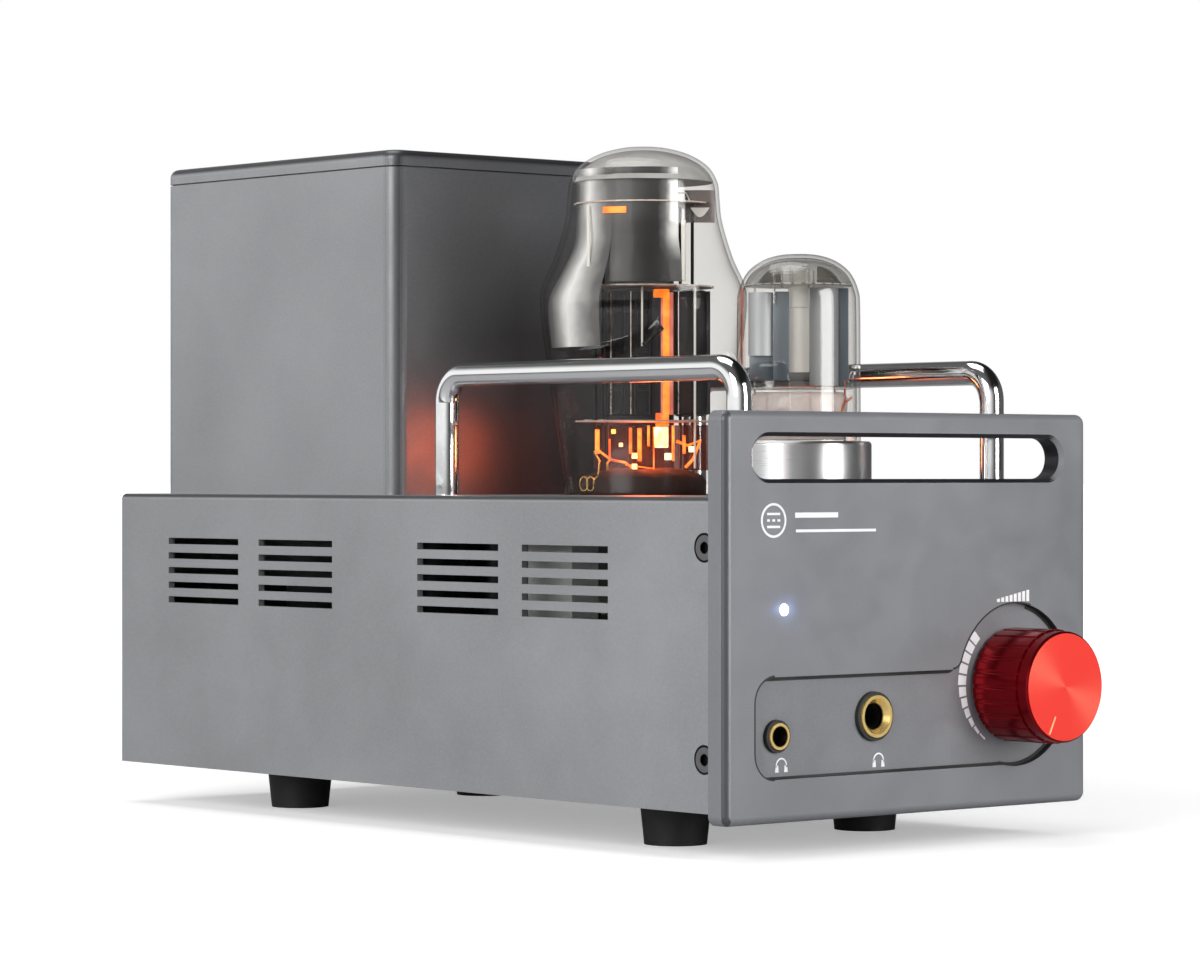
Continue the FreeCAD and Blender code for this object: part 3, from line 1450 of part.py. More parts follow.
front_panel()
chassis_shell()
bottom_plate()
front_brackets()
side_screws()
cap_screws()
plate_screws()
fixing_blocks()
feet()
guard_rail("guard_rail_left", "-1")
guard_rail("guard_rail_right", "1")
rail_nuts()
transformer_cover()
cover_cap()
transformer_core()
transformer_coil()
transformer_straps()
lead_grommet()
transformer_leads()
volume_knob()
knob_grub_screw()
pot_shaft()
pot_body()
pot_nut()
jack("headphone_jack", "jack")
jack("mini_jack", "mini")
power_lamp()
power_glass()
tube_base("power_tube", "power_y", "power_base_radius", "power_base_foot", "power_base_top",
          "power_glass_foot", "power_neck + 0.4")
stem("power_tube", "power_y", "power_stem", "power_glass_foot", "power_top - 83")
power_electrodes()
driver_glass()
tube_base("driver_tube", "driver_y", "driver_base_radius", "driver_base_foot", "driver_base_top",
          "driver_glass_foot", "driver_radius")
driver_electrodes()
tube_collar()
tube_sockets()
main_board()
pillars()
filter_capacitors()
film_capacitors()
power_resistors()
heat_sink()
mains_inlet()
inlet_pins()
fuse_drawer()
power_switch()
phono_jacks()
document.recompute()

# ---------------------------------------------------------------- checks and files

for item in document.Objects:
    if {"Invalid", "Error"} & set(item.State):
        raise RuntimeError(f"{item.Name} ({item.Label}) failed: {item.State}")
for item in NODES:
    if item.Shape.isNull() or not item.Shape.isValid() or not item.Shape.Solids:
        raise RuntimeError(f"{item.Label} has no valid solid")

os.makedirs("parts", exist_ok=True)
for item in NODES:
    item.Shape.exportStep(os.path.join("parts", f"{item.Label}.step"))
print(len(NODES), "nodes written")
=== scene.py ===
import json
import random
from math import asin, atan2, cos, degrees, pi, radians, sin, sqrt

import bmesh
import bpy
from mathutils import Matrix, Vector


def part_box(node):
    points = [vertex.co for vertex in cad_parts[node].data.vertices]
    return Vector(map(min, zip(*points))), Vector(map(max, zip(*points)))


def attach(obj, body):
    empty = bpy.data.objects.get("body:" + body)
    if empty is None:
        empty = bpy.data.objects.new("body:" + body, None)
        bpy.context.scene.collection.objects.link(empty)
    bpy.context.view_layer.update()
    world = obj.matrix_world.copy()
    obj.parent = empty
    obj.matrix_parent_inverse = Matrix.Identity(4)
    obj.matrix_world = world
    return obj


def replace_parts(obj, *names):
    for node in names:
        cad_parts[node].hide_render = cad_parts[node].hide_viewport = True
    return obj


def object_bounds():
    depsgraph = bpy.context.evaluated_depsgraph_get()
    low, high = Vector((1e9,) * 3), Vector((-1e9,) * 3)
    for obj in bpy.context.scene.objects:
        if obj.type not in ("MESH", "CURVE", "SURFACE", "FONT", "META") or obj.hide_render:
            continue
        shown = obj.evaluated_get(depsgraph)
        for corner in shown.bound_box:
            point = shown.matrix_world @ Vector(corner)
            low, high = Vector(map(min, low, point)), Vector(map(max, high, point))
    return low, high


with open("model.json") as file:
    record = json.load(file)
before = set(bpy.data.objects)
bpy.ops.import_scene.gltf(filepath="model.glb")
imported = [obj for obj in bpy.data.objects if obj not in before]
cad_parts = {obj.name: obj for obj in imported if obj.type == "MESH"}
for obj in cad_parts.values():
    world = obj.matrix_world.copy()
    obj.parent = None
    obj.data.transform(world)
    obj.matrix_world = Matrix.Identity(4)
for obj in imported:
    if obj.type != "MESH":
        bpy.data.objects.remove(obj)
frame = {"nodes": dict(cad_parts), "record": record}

CAD_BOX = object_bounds()
MM = 0.001
VIEW_TURN = -40.955   # bearing of the photo's camera, which the insides of the tubes face, in degrees
FINISHES = {}         # materials by slot, by node or by the plain name of a finish
INK = 0.05            # thickness of print, in millimetres
RECESS_DEPTH = 2 * MM


def middle(node):
    low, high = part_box(node)
    return (low + high) / 2


# ---- shaders ----

SOFT = (0.3, 0.7)     # the stretch of a noise's values that a gentle contrast is drawn from
BLACK = (0, 0, 0)
WHITE = (1, 1, 1)


class Nodes:
    """A shader's node tree, with the small sums that patterns are made of."""

    def __init__(self, tree):
        self.tree = tree

    def node(self, kind, **settings):
        made = self.tree.nodes.new(kind)
        for key, what in settings.items():
            setattr(made, key, what)
        return made

    def feed(self, target, what):
        """Gives an input a value, or links it to an output."""
        if isinstance(what, bpy.types.NodeSocket):
            self.tree.links.new(what, target)
        else:
            target.default_value = what

    def span(self, factor, low, high, start=0.0, stop=1.0, **settings):
        """Maps factor from start..stop to low..high, held at both ends."""
        made = self.node("ShaderNodeMapRange", **settings)
        ends = {"Value": factor, "From Min": start, "From Max": stop, "To Min": low, "To Max": high}
        for key, what in ends.items():
            self.feed(made.inputs[key], what)
        return made.outputs["Result"]

    def maths(self, operation, first, second=0.0):
        made = self.node("ShaderNodeMath", operation=operation)
        self.feed(made.inputs[0], first)
        self.feed(made.inputs[1], second)
        return made.outputs["Value"]

    def times(self, first, *others):
        for other in others:
            first = self.maths("MULTIPLY", first, other)
        return first

    def reach(self, across, up):
        """Length of the slope over two legs."""
        return self.maths("SQRT", self.maths("ADD", self.times(across, across), self.times(up, up)))

    def part(self, vector, letter):
        split = self.node("ShaderNodeSeparateXYZ")
        self.feed(split.inputs["Vector"], vector)
        return split.outputs[letter]


class Paint(Nodes):
    """A finish: one Principled shader and the patterns that feed it."""

    def __init__(self, name, colour, metallic=0.0, roughness=0.5):
        material = bpy.data.materials.new(name + "_finish")
        material.use_nodes = True
        super().__init__(material.node_tree)
        self.shader = self.tree.nodes["Principled BSDF"]
        self.place = self.node("ShaderNodeTexCoord").outputs["Object"]
        self.set("Base Color", (*colour, 1))
        self.set("Metallic", metallic)
        self.set("Roughness", roughness)
        FINISHES[name] = material

    def set(self, socket, what):
        self.feed(self.shader.inputs[socket], what)

    def noise(self, grain, detail=3.0, stretch=None):
        """Soft noise whose blobs are about grain metres wide."""
        made = self.node("ShaderNodeTexNoise")
        place = self.place
        if stretch:
            mapping = self.node("ShaderNodeMapping")
            self.feed(mapping.inputs["Vector"], place)
            self.feed(mapping.inputs["Scale"], stretch)
            place = mapping.outputs["Vector"]
        self.feed(made.inputs["Vector"], place)
        self.feed(made.inputs["Scale"], 1 / grain)
        self.feed(made.inputs["Detail"], detail)
        return made.outputs["Fac"]

    def ramp(self, factor, *stops):
        """A colour for each (place, colour) stop."""
        made = self.node("ShaderNodeValToRGB")
        self.feed(made.inputs["Fac"], factor)
        elements = made.color_ramp.elements
        while len(elements) < len(stops):
            elements.new(0.5)
        for element, (place, colour) in zip(elements, stops):
            element.position = place
            element.color = (*colour, 1)
        return made.outputs["Color"]

    def between(self, factor, first, second, mode="MIX"):
        made = self.node("ShaderNodeMix", data_type="RGBA", blend_type=mode)
        self.feed(made.inputs["Factor"], factor)
        for key, what in (("A", first), ("B", second)):
            socket = next(s for s in made.inputs if s.name == key and s.type == "RGBA")
            self.feed(socket, what if isinstance(what, bpy.types.NodeSocket) else (*what, 1))
        return next(s for s in made.outputs if s.type == "RGBA")

    def stain(self, share, colour):
        """Lays a colour over the base colour wherever share is one."""
        base = self.shader.inputs["Base Color"].links[0].from_socket
        self.set("Base Color", self.between(share, base, colour))

    def axis(self, letter):
        return self.part(self.place, letter)

    def offset(self, letter, centre):
        return self.maths("SUBTRACT", self.axis(letter), centre)

    def relief(self, height, depth, strength):
        """Bump whose full height is depth metres."""
        made = self.node("ShaderNodeBump")
        self.feed(made.inputs["Height"], height)
        self.feed(made.inputs["Distance"], depth)
        self.feed(made.inputs["Strength"], strength)
        self.set("Normal", made.outputs["Normal"])


def tinted(colour, share):
    return tuple(min(1.0, share * c) for c in colour)


def coated_metal(name, colour, grain, roughness, depth=0.012 * MM, metallic=0.35):
    """Powder coat or blasted anodising: fine grain, cloudy tone, faint handling marks."""
    paint = Paint(name, colour, metallic, roughness)
    cloud = paint.noise(60 * MM, 2.0)
    fleck = paint.noise(grain, 2.0)
    tone = paint.between(paint.span(cloud, 0.0, 1.0, *SOFT), tinted(colour, 0.90), tinted(colour, 1.10))
    light_fleck = (0.75, 0.76, 0.78)
    paint.set("Base Color", paint.between(paint.span(fleck, 0.0, 0.10, 0.35, 0.75), tone, light_fleck))
    marks = paint.noise(9 * MM, 6.0)
    paint.set("Roughness", paint.span(marks, roughness - 0.05, roughness + 0.07, *SOFT))
    paint.relief(fleck, depth, 0.6)
    return paint


def bare_metal(name, colour, roughness, stretch=(1, 1, 1), grain=0.4 * MM, tint=0.85, depth=0.004 * MM,
               uneven=1.0):
    """Plated, turned or brushed metal with directional fine lines."""
    paint = Paint(name, colour, 1.0, roughness)
    lines = paint.noise(grain, 4.0, stretch)
    dull = paint.noise(12 * MM, 3.0)
    paint.set("Base Color", paint.between(paint.span(lines, 0.0, 1.0, *SOFT), tinted(colour, tint), colour))
    fine = paint.span(lines, -0.05, 0.06, *SOFT)
    broad = paint.span(dull, -0.03, 0.05, *SOFT)
    spread = paint.times(paint.maths("ADD", fine, broad), uneven)
    paint.set("Roughness", paint.maths("ADD", spread, roughness))
    paint.relief(lines, depth, 0.5)
    return paint


def moulded(name, colour, roughness, grain=0.5 * MM, depth=0.02 * MM, dust=0.03):
    """Moulded plastic or rubber: fine spark texture, a little dust, cloudy gloss."""
    paint = Paint(name, colour, roughness=roughness)
    fleck = paint.noise(grain, 3.0)
    cloud = paint.noise(15 * MM, 4.0)
    dusty = tuple(min(1.0, c + dust) for c in colour)
    paint.set("Base Color", paint.between(paint.span(cloud, 0.0, 1.0, 0.35, 0.7), colour, dusty))
    paint.set("Roughness", paint.span(cloud, roughness - 0.06, roughness + 0.08, *SOFT))
    paint.relief(fleck, depth, 0.6)


def glowing(name, cool, hot, power):
    """Something that gives light of its own, cooler in places."""
    paint = Paint(name, cool, roughness=0.5)
    heat = paint.span(paint.noise(4 * MM, 2.0), 0.0, 1.0, 0.35, 0.65)
    paint.set("Emission Color", paint.between(heat, cool, hot))
    paint.set("Emission Strength", paint.span(heat, 0.6 * power, power))


def clear_glass(name, tint_edge, tint_face, shine=1.0):
    """Thin glass that bends nothing behind it: edges tinted, mirror-bright at a graze."""
    paint = Paint(name, tint_face, roughness=0.05)
    weight = paint.node("ShaderNodeLayerWeight")
    paint.feed(weight.inputs["Blend"], 0.5)
    graze = weight.outputs["Facing"]
    through = paint.node("ShaderNodeBsdfTransparent")
    tint = paint.ramp(graze, (0.0, tint_face), (0.6, tint_face), (1.0, tint_edge))
    paint.feed(through.inputs["Color"], tint)
    gloss = paint.node("ShaderNodeBsdfGlossy")
    smear = 0.02
    paint.feed(gloss.inputs["Roughness"], paint.span(paint.noise(14 * MM, 3.0), smear, 4 * smear, 0.35, 0.7))
    mix = paint.node("ShaderNodeMixShader")
    square_on = 0.04   # share of light that glass mirrors when looked at squarely
    share = paint.span(paint.maths("POWER", graze, 5.0), square_on * shine, shine)
    for socket, what in zip(mix.inputs, (share, through.outputs["BSDF"], gloss.outputs["BSDF"])):
        paint.feed(socket, what)
    paint.feed(paint.tree.nodes["Material Output"].inputs["Surface"], mix.outputs["Shader"])


def film(name, colour, clearness, roughness, grain=6 * MM):
    """A thin see-through deposit: cloudy, of the given colour, letting clearness of the light by."""
    paint = Paint(name, colour, roughness=roughness)
    cloud = paint.noise(grain, 4.0)
    paint.set("Base Color", paint.between(paint.span(cloud, 0.0, 1.0, *SOFT), tinted(colour, 0.82), colour))
    paint.set("Roughness", paint.span(cloud, 0.8 * roughness, 1.2 * roughness, *SOFT))
    cover = 1 - clearness
    paint.set("Alpha", paint.span(cloud, cover - 0.05, cover + 0.05, *SOFT))


def gilt(name):
    paint = bare_metal(name, (1.0, 0.72, 0.26), 0.20, grain=3 * MM, tint=0.95, depth=0.001 * MM)
    paint.set("Metallic", 0.75)
    return paint


def dull_metal(name, colour, metallic):
    paint = bare_metal(name, colour, 0.55, tint=0.93)
    paint.set("Metallic", metallic)


def knob_finish():
    """Glossy dark red anodising, with a bright spun front face on which painted highlights spread out in
    wedges.
    """
    paint = bare_metal("red_knob", (0.30, 0.004, 0.010), 0.20, tint=0.8)
    centre = middle("volume_knob")
    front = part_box("volume_knob")[0].y
    across = paint.offset("X", centre.x)
    up = paint.offset("Z", centre.z)
    # painted highlight: the face is lightened in two opposite wedges about this bearing, for the light a spun
    # face throws back
    highlight_bearing = radians(-28)
    angle = paint.maths("SUBTRACT", paint.maths("ARCTAN2", up, across), highlight_bearing)
    highlight_fan = paint.span(paint.maths("COSINE", paint.times(angle, 2.0)), 0.0, 1.0, -1.0, 1.0)
    highlight_wedge = paint.maths("POWER", highlight_fan, 5.0)
    groove = 0.35 * MM
    rings = paint.maths("SINE", paint.times(paint.reach(across, up), 2 * pi / groove))
    spun = paint.between(highlight_wedge, (0.90, 0.036, 0.022), (1.0, 0.125, 0.075))
    spun = paint.between(paint.span(rings, 0.0, 0.10, -1.0, 1.0), spun, (1.0, 0.20, 0.14))
    on_face = paint.span(paint.axis("Y"), 1.0, 0.0, front + 0.05 * MM, front + 0.12 * MM)
    paint.stain(on_face, spun)
    paint.set("Metallic", paint.span(on_face, 0.85, 0.35))
    paint.set("Roughness", paint.span(on_face, 0.20, 0.42))
    paint.relief(rings, 0.006 * MM, 0.4)


def ring_finish(node, bore):
    """Gold plating, with painted shade inside the mouth of a socket."""
    paint = gilt(node)
    centre = middle(node)
    reach = paint.reach(paint.offset("X", centre.x), paint.offset("Z", centre.z))
    # painted shade: the gold turns nearly black inside the mouth
    paint.stain(paint.span(reach, 1.0, 0.0, bore, bore + 0.25 * MM), (0.02, 0.012, 0.006))


def screw_finish(node, head_radius):
    """Grey screw heads with painted shade: a dark line round the rim for the shadow gap, and a black socket.
    """
    paint = bare_metal(node, (0.20, 0.20, 0.21), 0.40)
    low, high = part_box(node)
    centre = (low + high) / 2
    half_pitch = (high.z - low.z) / 2 - head_radius
    up = paint.maths("SUBTRACT", paint.maths("ABSOLUTE", paint.offset("Z", centre.z)), half_pitch)
    reach = paint.reach(paint.offset("Y", centre.y), up)
    # painted shade: a dark ring at the head's rim for the shadow gap round it, and a dark disc in the shaded
    # socket
    rim = paint.span(reach, 0.0, 1.0, head_radius - 0.45 * MM, head_radius - 0.30 * MM)
    socket = paint.span(reach, 1.0, 0.0, 1.45 * MM, 1.60 * MM)
    paint.stain(paint.maths("MAXIMUM", rim, socket), (0.012, 0.012, 0.013))


def mirror_finish(node):
    """Getter deposit on the inside of the bulb: a nearly black film with painted reflections, silver bands at
    two bearings.
    """
    paint = Paint("mirror", (0.05, 0.05, 0.05))
    centre = middle(node)
    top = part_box(node)[1].z
    across = paint.offset("X", centre.x)
    along = paint.offset("Y", centre.y)
    turn = radians(VIEW_TURN)
    right = paint.maths("ADD", paint.times(across, cos(turn)), paint.times(along, sin(turn)))
    near = paint.maths("SUBTRACT", paint.times(across, sin(turn)), paint.times(along, cos(turn)))
    bearing = paint.maths("ARCTAN2", right, near)
    wander = paint.span(paint.noise(9 * MM, 3.0), -0.05, 0.05, *SOFT)
    first, last = -100, 40
    share = paint.span(paint.maths("ADD", bearing, wander), 0.0, 1.0, radians(first), radians(last))

    def at(degrees):
        return (degrees - first) / (last - first)

    # painted reflection: the film's grey at each bearing in degrees, bright where lamps would be mirrored
    reflection_greys = ((-90, 0.09), (-74, 0.17), (-62, 0.48), (-52, 1.0), (-43, 0.46), (-33, 0.13), (-18, 0.035),
             (-4, 0.012), (12, 0.010), (18, 0.13), (25, 0.75), (29, 0.90))
    painted_reflections = paint.ramp(share, *((at(degrees), (grey,) * 3) for degrees, grey in reflection_greys))
    height = paint.axis("Z")
    # lighter towards the crown
    crown_lift = paint.span(height, 0.0, 0.16, top - 22 * MM, top - 9 * MM)
    lit = paint.between(crown_lift, painted_reflections, (0.16, 0.165, 0.165), mode="LIGHTEN")
    # darker low down on the right
    low = paint.span(height, 1.0, 0.0, top - 32 * MM, top - 24 * MM)
    right_only = paint.span(share, 0.0, 1.0, at(2), at(16))
    paint.set("Base Color", paint.between(paint.times(low, right_only), lit, (0.028, 0.028, 0.028)))
    paint.set("Coat Weight", 0.12)


def face_direction(paint):
    return paint.node("ShaderNodeNewGeometry").outputs["True Normal"]


def shade_openings(paint, node, border, deep):
    """Darkens the walls of a plate's openings, and its rounded left edge."""
    low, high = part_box(node)
    normal = face_direction(paint)
    forward = paint.part(normal, "Y")
    sideways = paint.times(paint.maths("ABSOLUTE", paint.part(normal, "X")), 0.4)
    wall = paint.span(paint.maths("ADD", paint.maths("ABSOLUTE", forward), sideways), 1.0, 0.0, 0.78, 0.86)
    for letter, near, far in (("X", low.x, high.x), ("Z", low.z, high.z)):
        away = paint.maths("ABSOLUTE", paint.offset(letter, (near + far) / 2))
        wall = paint.times(wall, paint.maths("LESS_THAN", away, (far - near) / 2 - border))
    turned = paint.span(forward, 0.0, 1.0, -0.995, -0.96)
    rounding = paint.times(turned, paint.span(forward, 1.0, 0.0, -0.30, -0.22))
    at_left = paint.span(paint.axis("X"), 1.0, 0.0, low.x + 2 * MM, low.x + 2.4 * MM)
    paint.stain(paint.times(at_left, rounding, 0.75), deep)
    paint.stain(wall, deep)


def shade_bends(paint, kept):
    """Keeps only a share of the tone where an edge is rounded, as no face is square there."""
    normal = face_direction(paint)
    sizes = [paint.maths("ABSOLUTE", paint.part(normal, letter)) for letter in "XYZ"]
    squarest = paint.maths("MAXIMUM", sizes[0], paint.maths("MAXIMUM", sizes[1], sizes[2]))
    paint.stain(paint.times(paint.span(squarest, 1.0, 0.0, 0.90, 0.998), 1 - kept), BLACK)


def shade_cover(paint, node, tube):
    """Deepens the housing's front where the bulbs standing before it keep the light away."""
    low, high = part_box(node)
    bulb = middle(tube)
    near = paint.span(paint.axis("Y"), 1.0, 0.0, low.y + 1 * MM, low.y + 3 * MM)
    beside = paint.span(paint.axis("X"), 0.0, 1.0, bulb.x - 42 * MM, bulb.x - 8 * MM)
    under = paint.span(paint.axis("Z"), 1.0, 0.0, high.z - 45 * MM, high.z - 12 * MM)
    paint.stain(paint.times(near, beside, under, 0.80), (0.055, 0.046, 0.048))


def make_case_finishes():
    """Finishes of the case, the front, the inside and the printing."""
    panel_grey = (0.195, 0.200, 0.213)
    shell_grey = (0.320, 0.325, 0.338)
    panel = coated_metal("grey_panel", panel_grey, 0.16 * MM, 0.40, depth=0.006 * MM)
    shade_openings(panel, "front_panel", 3 * MM, (0.022, 0.022, 0.026))
    shade_bends(coated_metal("grey_shell", shell_grey, 0.40 * MM, 0.36, metallic=0.6), 0.30)
    cover = coated_metal("transformer_cover", shell_grey, 0.40 * MM, 0.36, metallic=0.6)
    shade_cover(cover, "transformer_cover", "power_tube_glass")
    shade_bends(cover, 0.45)
    knob_finish()
    screw_finish("side_screws", 3.5 * MM)
    gilt("gold")
    ring_finish("headphone_jack_ring", 3.3 * MM)
    ring_finish("mini_jack_ring", 2.5 * MM)
    bare_metal("bare_steel", (0.58, 0.58, 0.57), 0.34)
    bare_metal("black_steel", (0.035, 0.035, 0.038), 0.38)
    bare_metal("chrome", (0.90, 0.905, 0.91), 0.07, grain=5 * MM, tint=0.97)
    bare_metal("turned_aluminium", (0.80, 0.80, 0.80), 0.20, grain=1.5 * MM, tint=0.96)
    bare_metal("black_aluminium", (0.028, 0.028, 0.030), 0.36)
    bare_metal("iron", (0.16, 0.15, 0.15), 0.5, stretch=(0.2, 3.0, 0.2))
    bare_metal("tube_collar", (0.66, 0.66, 0.66), 0.28, stretch=(0.1, 0.1, 3.0), grain=0.8 * MM, tint=0.97,
               depth=0.0002 * MM, uneven=0.15)
    glowing("lamp", (0.45, 0.60, 1.0), (0.9, 0.95, 1.0), 5.0)
    moulded("rubber", (0.005, 0.0045, 0.004), 0.6, grain=0.8 * MM, depth=0.03 * MM, dust=0.008)
    moulded("black_plastic", (0.007, 0.007, 0.007), 0.5, dust=0.008)
    moulded("ceramic", (0.80, 0.78, 0.73), 0.25, depth=0.01 * MM)
    moulded("board", (0.012, 0.085, 0.032), 0.30, depth=0.01 * MM)
    moulded("can", (0.018, 0.018, 0.035), 0.28)
    moulded("white_case", (0.80, 0.80, 0.77), 0.32)
    moulded("resistor", (0.62, 0.60, 0.55), 0.75, grain=0.7 * MM, depth=0.06 * MM)
    moulded("winding", (0.55, 0.33, 0.05), 0.38, grain=3 * MM, depth=0.08 * MM)
    moulded("lead", (0.40, 0.02, 0.015), 0.40)
    # painted shadow: near-black for the line round the recess
    moulded("painted_shadow", (0.006, 0.005, 0.005), 0.6)
    moulded("ink", (0.78, 0.78, 0.80), 0.50, grain=0.2 * MM, depth=0.004 * MM, dust=0.08)
    moulded("pointer", (1.0, 0.45, 0.22), 0.50, grain=0.2 * MM, depth=0.004 * MM)


def make_tube_finishes():
    """Finishes of the tubes: glass, deposits on it, and the metals and insulators inside."""
    clear_glass("glass", (0.84, 0.83, 0.82), (0.93, 0.925, 0.915))
    clear_glass("bulb_glass", (0.88, 0.87, 0.86), (0.94, 0.935, 0.925), shine=0.62)
    clear_glass("stem_glass", (0.55, 0.50, 0.46), (0.88, 0.86, 0.84))
    mirror_finish("power_tube_glass")
    film("haze", (0.66, 0.66, 0.65), 0.25, 0.5)
    film("smoke", (0.16, 0.12, 0.11), 0.30, 0.3)
    film("clear_mica", (0.80, 0.78, 0.72), 0.55, 0.3)
    film("olive_film", (0.16, 0.155, 0.13), 0.35, 0.35)
    film("dome_film", (0.24, 0.23, 0.21), 0.78, 0.4)
    film("pink_glass", (0.92, 0.78, 0.74), 0.35, 0.2)
    film("brown_film", (0.035, 0.012, 0.008), 0.35, 0.5, grain=30 * MM)
    bare_metal("nickel", (0.66, 0.64, 0.60), 0.26)
    bare_metal("plate", (0.045, 0.043, 0.045), 0.40)
    bare_metal("slate_plate", (0.16, 0.19, 0.22), 0.45, tint=0.9)
    bare_metal("copper", (0.72, 0.20, 0.12), 0.35)
    dull_metal("silver_plate", (0.50, 0.52, 0.54), 0.45)
    # painted shade: a darker copy of the plates' metal, for the right plate
    dull_metal("shaded_plate", (0.33, 0.34, 0.35), 0.35)
    moulded("bakelite", (0.030, 0.014, 0.008), 0.30, grain=1.2 * MM, depth=0.01 * MM)
    moulded("mica", (0.62, 0.52, 0.46), 0.25, grain=2 * MM, depth=0.01 * MM, dust=0.06)
    moulded("cream", (0.72, 0.70, 0.66), 0.5, dust=0.08)
    # painted highlight: near-white for nickel wires that catch the light
    moulded("rod_highlight", (0.86, 0.84, 0.78), 0.35, dust=0.05)
    moulded("salmon", (0.62, 0.16, 0.10), 0.5)
    moulded("char", (0.026, 0.010, 0.006), 0.85, grain=4 * MM, depth=0.6 * MM, dust=0.01)
    glowing("heater", (0.80, 0.09, 0.01), (1.0, 0.30, 0.04), 2.0)
    glowing("white_hot", (1.0, 0.42, 0.07), (1.0, 0.80, 0.38), 4.5)
    glowing("strip", (0.95, 0.17, 0.01), (1.0, 0.32, 0.03), 1.35)
    glowing("dull_glow", (0.50, 0.12, 0.08), (0.80, 0.30, 0.22), 0.6)


def paint_frame():
    """Every CAD node gets its own finish where it has one, or that of its slot in the record."""
    for part in frame["record"]["subparts"]:
        thing = frame["nodes"][part["node"]]
        thing.data.materials.clear()
        thing.data.materials.append(FINISHES.get(part["node"]) or FINISHES[part["material_slot"]])


make_case_finishes()
make_tube_finishes()
paint_frame()


# ---- mesh tools ----

class Shape:
    """A mesh under construction, in millimetres of its own place."""

    def __init__(self, place):
        self.mesh = bmesh.new()
        self.place = place @ Matrix.Scale(MM, 4)

    def skin(self, rows, closed=False):
        """Skins rings of points one after the other, with a cap at each end unless closed on itself."""
        rings = [[self.mesh.verts.new(point) for point in row] for row in rows]
        pairs = list(zip(rings, rings[1:]))
        if closed:
            pairs.append((rings[-1], rings[0]))
        for first, second in pairs:
            count = len(first)
            for i in range(count):
                j = (i + 1) % count
                self.mesh.faces.new([first[i], first[j], second[j], second[i]])
        if not closed:
            self.mesh.faces.new(rings[0][::-1])
            self.mesh.faces.new(rings[-1])

    def wire(self, radius, *points, sides=10):
        """Round wire along a line of points."""
        path = [Vector(p) for p in points]
        last = len(path) - 1
        ahead = [(path[min(i + 1, last)] - path[max(i - 1, 0)]).normalized() for i in range(last + 1)]
        across = ahead[0].orthogonal().normalized()
        rows = []
        for point, along in zip(path, ahead):
            across = (across - along * across.dot(along)).normalized()
            other = along.cross(across)
            turns = [2 * pi * i / sides for i in range(sides)]
            rows.append([point + radius * (cos(a) * across + sin(a) * other) for a in turns])
        self.skin(rows)

    def post(self, x, y, low, high, radius):
        """Upright wire."""
        self.wire(radius, (x, y, low), (x, y, high))

    def lathe(self, outline, steps=96, start=0.0, stop=360.0, centre=(0, 0)):
        """Turns a closed outline of (radius, height) about an upright line through centre."""
        whole = stop - start >= 360
        x, y = centre
        rows = []
        for i in range(steps if whole else steps + 1):
            turn = radians(start + (stop - start) * i / steps)
            rows.append([(x + r * sin(turn), y - r * cos(turn), z) for r, z in outline])
        self.skin(rows, closed=whole)

    def box(self, low, high, edge):
        """Block between two corners, with its edges broken."""
        made = bmesh.ops.create_cube(self.mesh, size=1.0)["verts"]
        low, high = Vector(low), Vector(high)
        size = Matrix.Diagonal((*(high - low), 1))
        bmesh.ops.transform(self.mesh, matrix=Matrix.Translation((low + high) / 2) @ size, verts=made)
        edges = dict.fromkeys(e for v in made for e in v.link_edges)
        bmesh.ops.bevel(self.mesh, geom=list(edges), offset=edge, segments=2, affect="EDGES", profile=0.6)

    def sheet(self, outline, thickness):
        """Flat plate: outline of (x, z) points, its back at y 0 and its face at y -thickness."""
        self.skin([[(x, y, z) for x, z in outline] for y in (0, -thickness)])

    def bar(self, left, low, right, high):
        """Printed upright rectangle."""
        self.sheet([(left, low), (right, low), (right, high), (left, high)], INK)

    def piece(self, name, finish, body, slot, crease=35):
        """Ends the mesh as a piece of the model riding its body."""
        data = bpy.data.meshes.new(name)
        bmesh.ops.transform(self.mesh, matrix=self.place, verts=self.mesh.verts)
        bmesh.ops.remove_doubles(self.mesh, verts=self.mesh.verts, dist=1e-7)
        bmesh.ops.recalc_face_normals(self.mesh, faces=self.mesh.faces)
        self.mesh.to_mesh(data)
        self.mesh.free()
        data.materials.append(FINISHES[finish])
        thing = placed(name, data)
        data.shade_smooth()
        data.set_sharp_from_angle(angle=radians(crease))
        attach(thing, body)
        return thing


def placed(name, data, place=(0, 0, 0)):
    """A new object in the scene."""
    thing = bpy.data.objects.new(name, data)
    bpy.context.scene.collection.objects.link(thing)
    thing.location = place
    return thing


def point_light(name, power, colour, size, place, body):
    """A small lamp inside the model."""
    light = bpy.data.lights.new(name, "POINT")
    light.energy = power
    light.color = colour
    light.shadow_soft_size = size
    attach(placed(name, light, place), body)


def smooth_line(points, steps=6):
    """Catmull-Rom curve through points."""
    ends = [points[0], *points, points[-1]]
    line = []
    for a, b, c, d in zip(ends, ends[1:], ends[2:], ends[3:]):
        for i in range(steps):
            t = i / steps
            line.append(tuple(0.5 * (2 * q + (r - p) * t + (2 * p - 5 * q + 4 * r - s) * t * t
                                     + (3 * q - p - 3 * r + s) * t ** 3) for p, q, r, s in zip(a, b, c, d)))
    line.append(tuple(points[-1]))
    return line


# ---- tubes: sizes in millimetres, heights for bulbs whose crowns stand this high ----

CROWNS = {"power_tube": 184.7, "driver_tube": 153.0}
GLASS_WALL = 1.0
GLASS_CREASE = 60


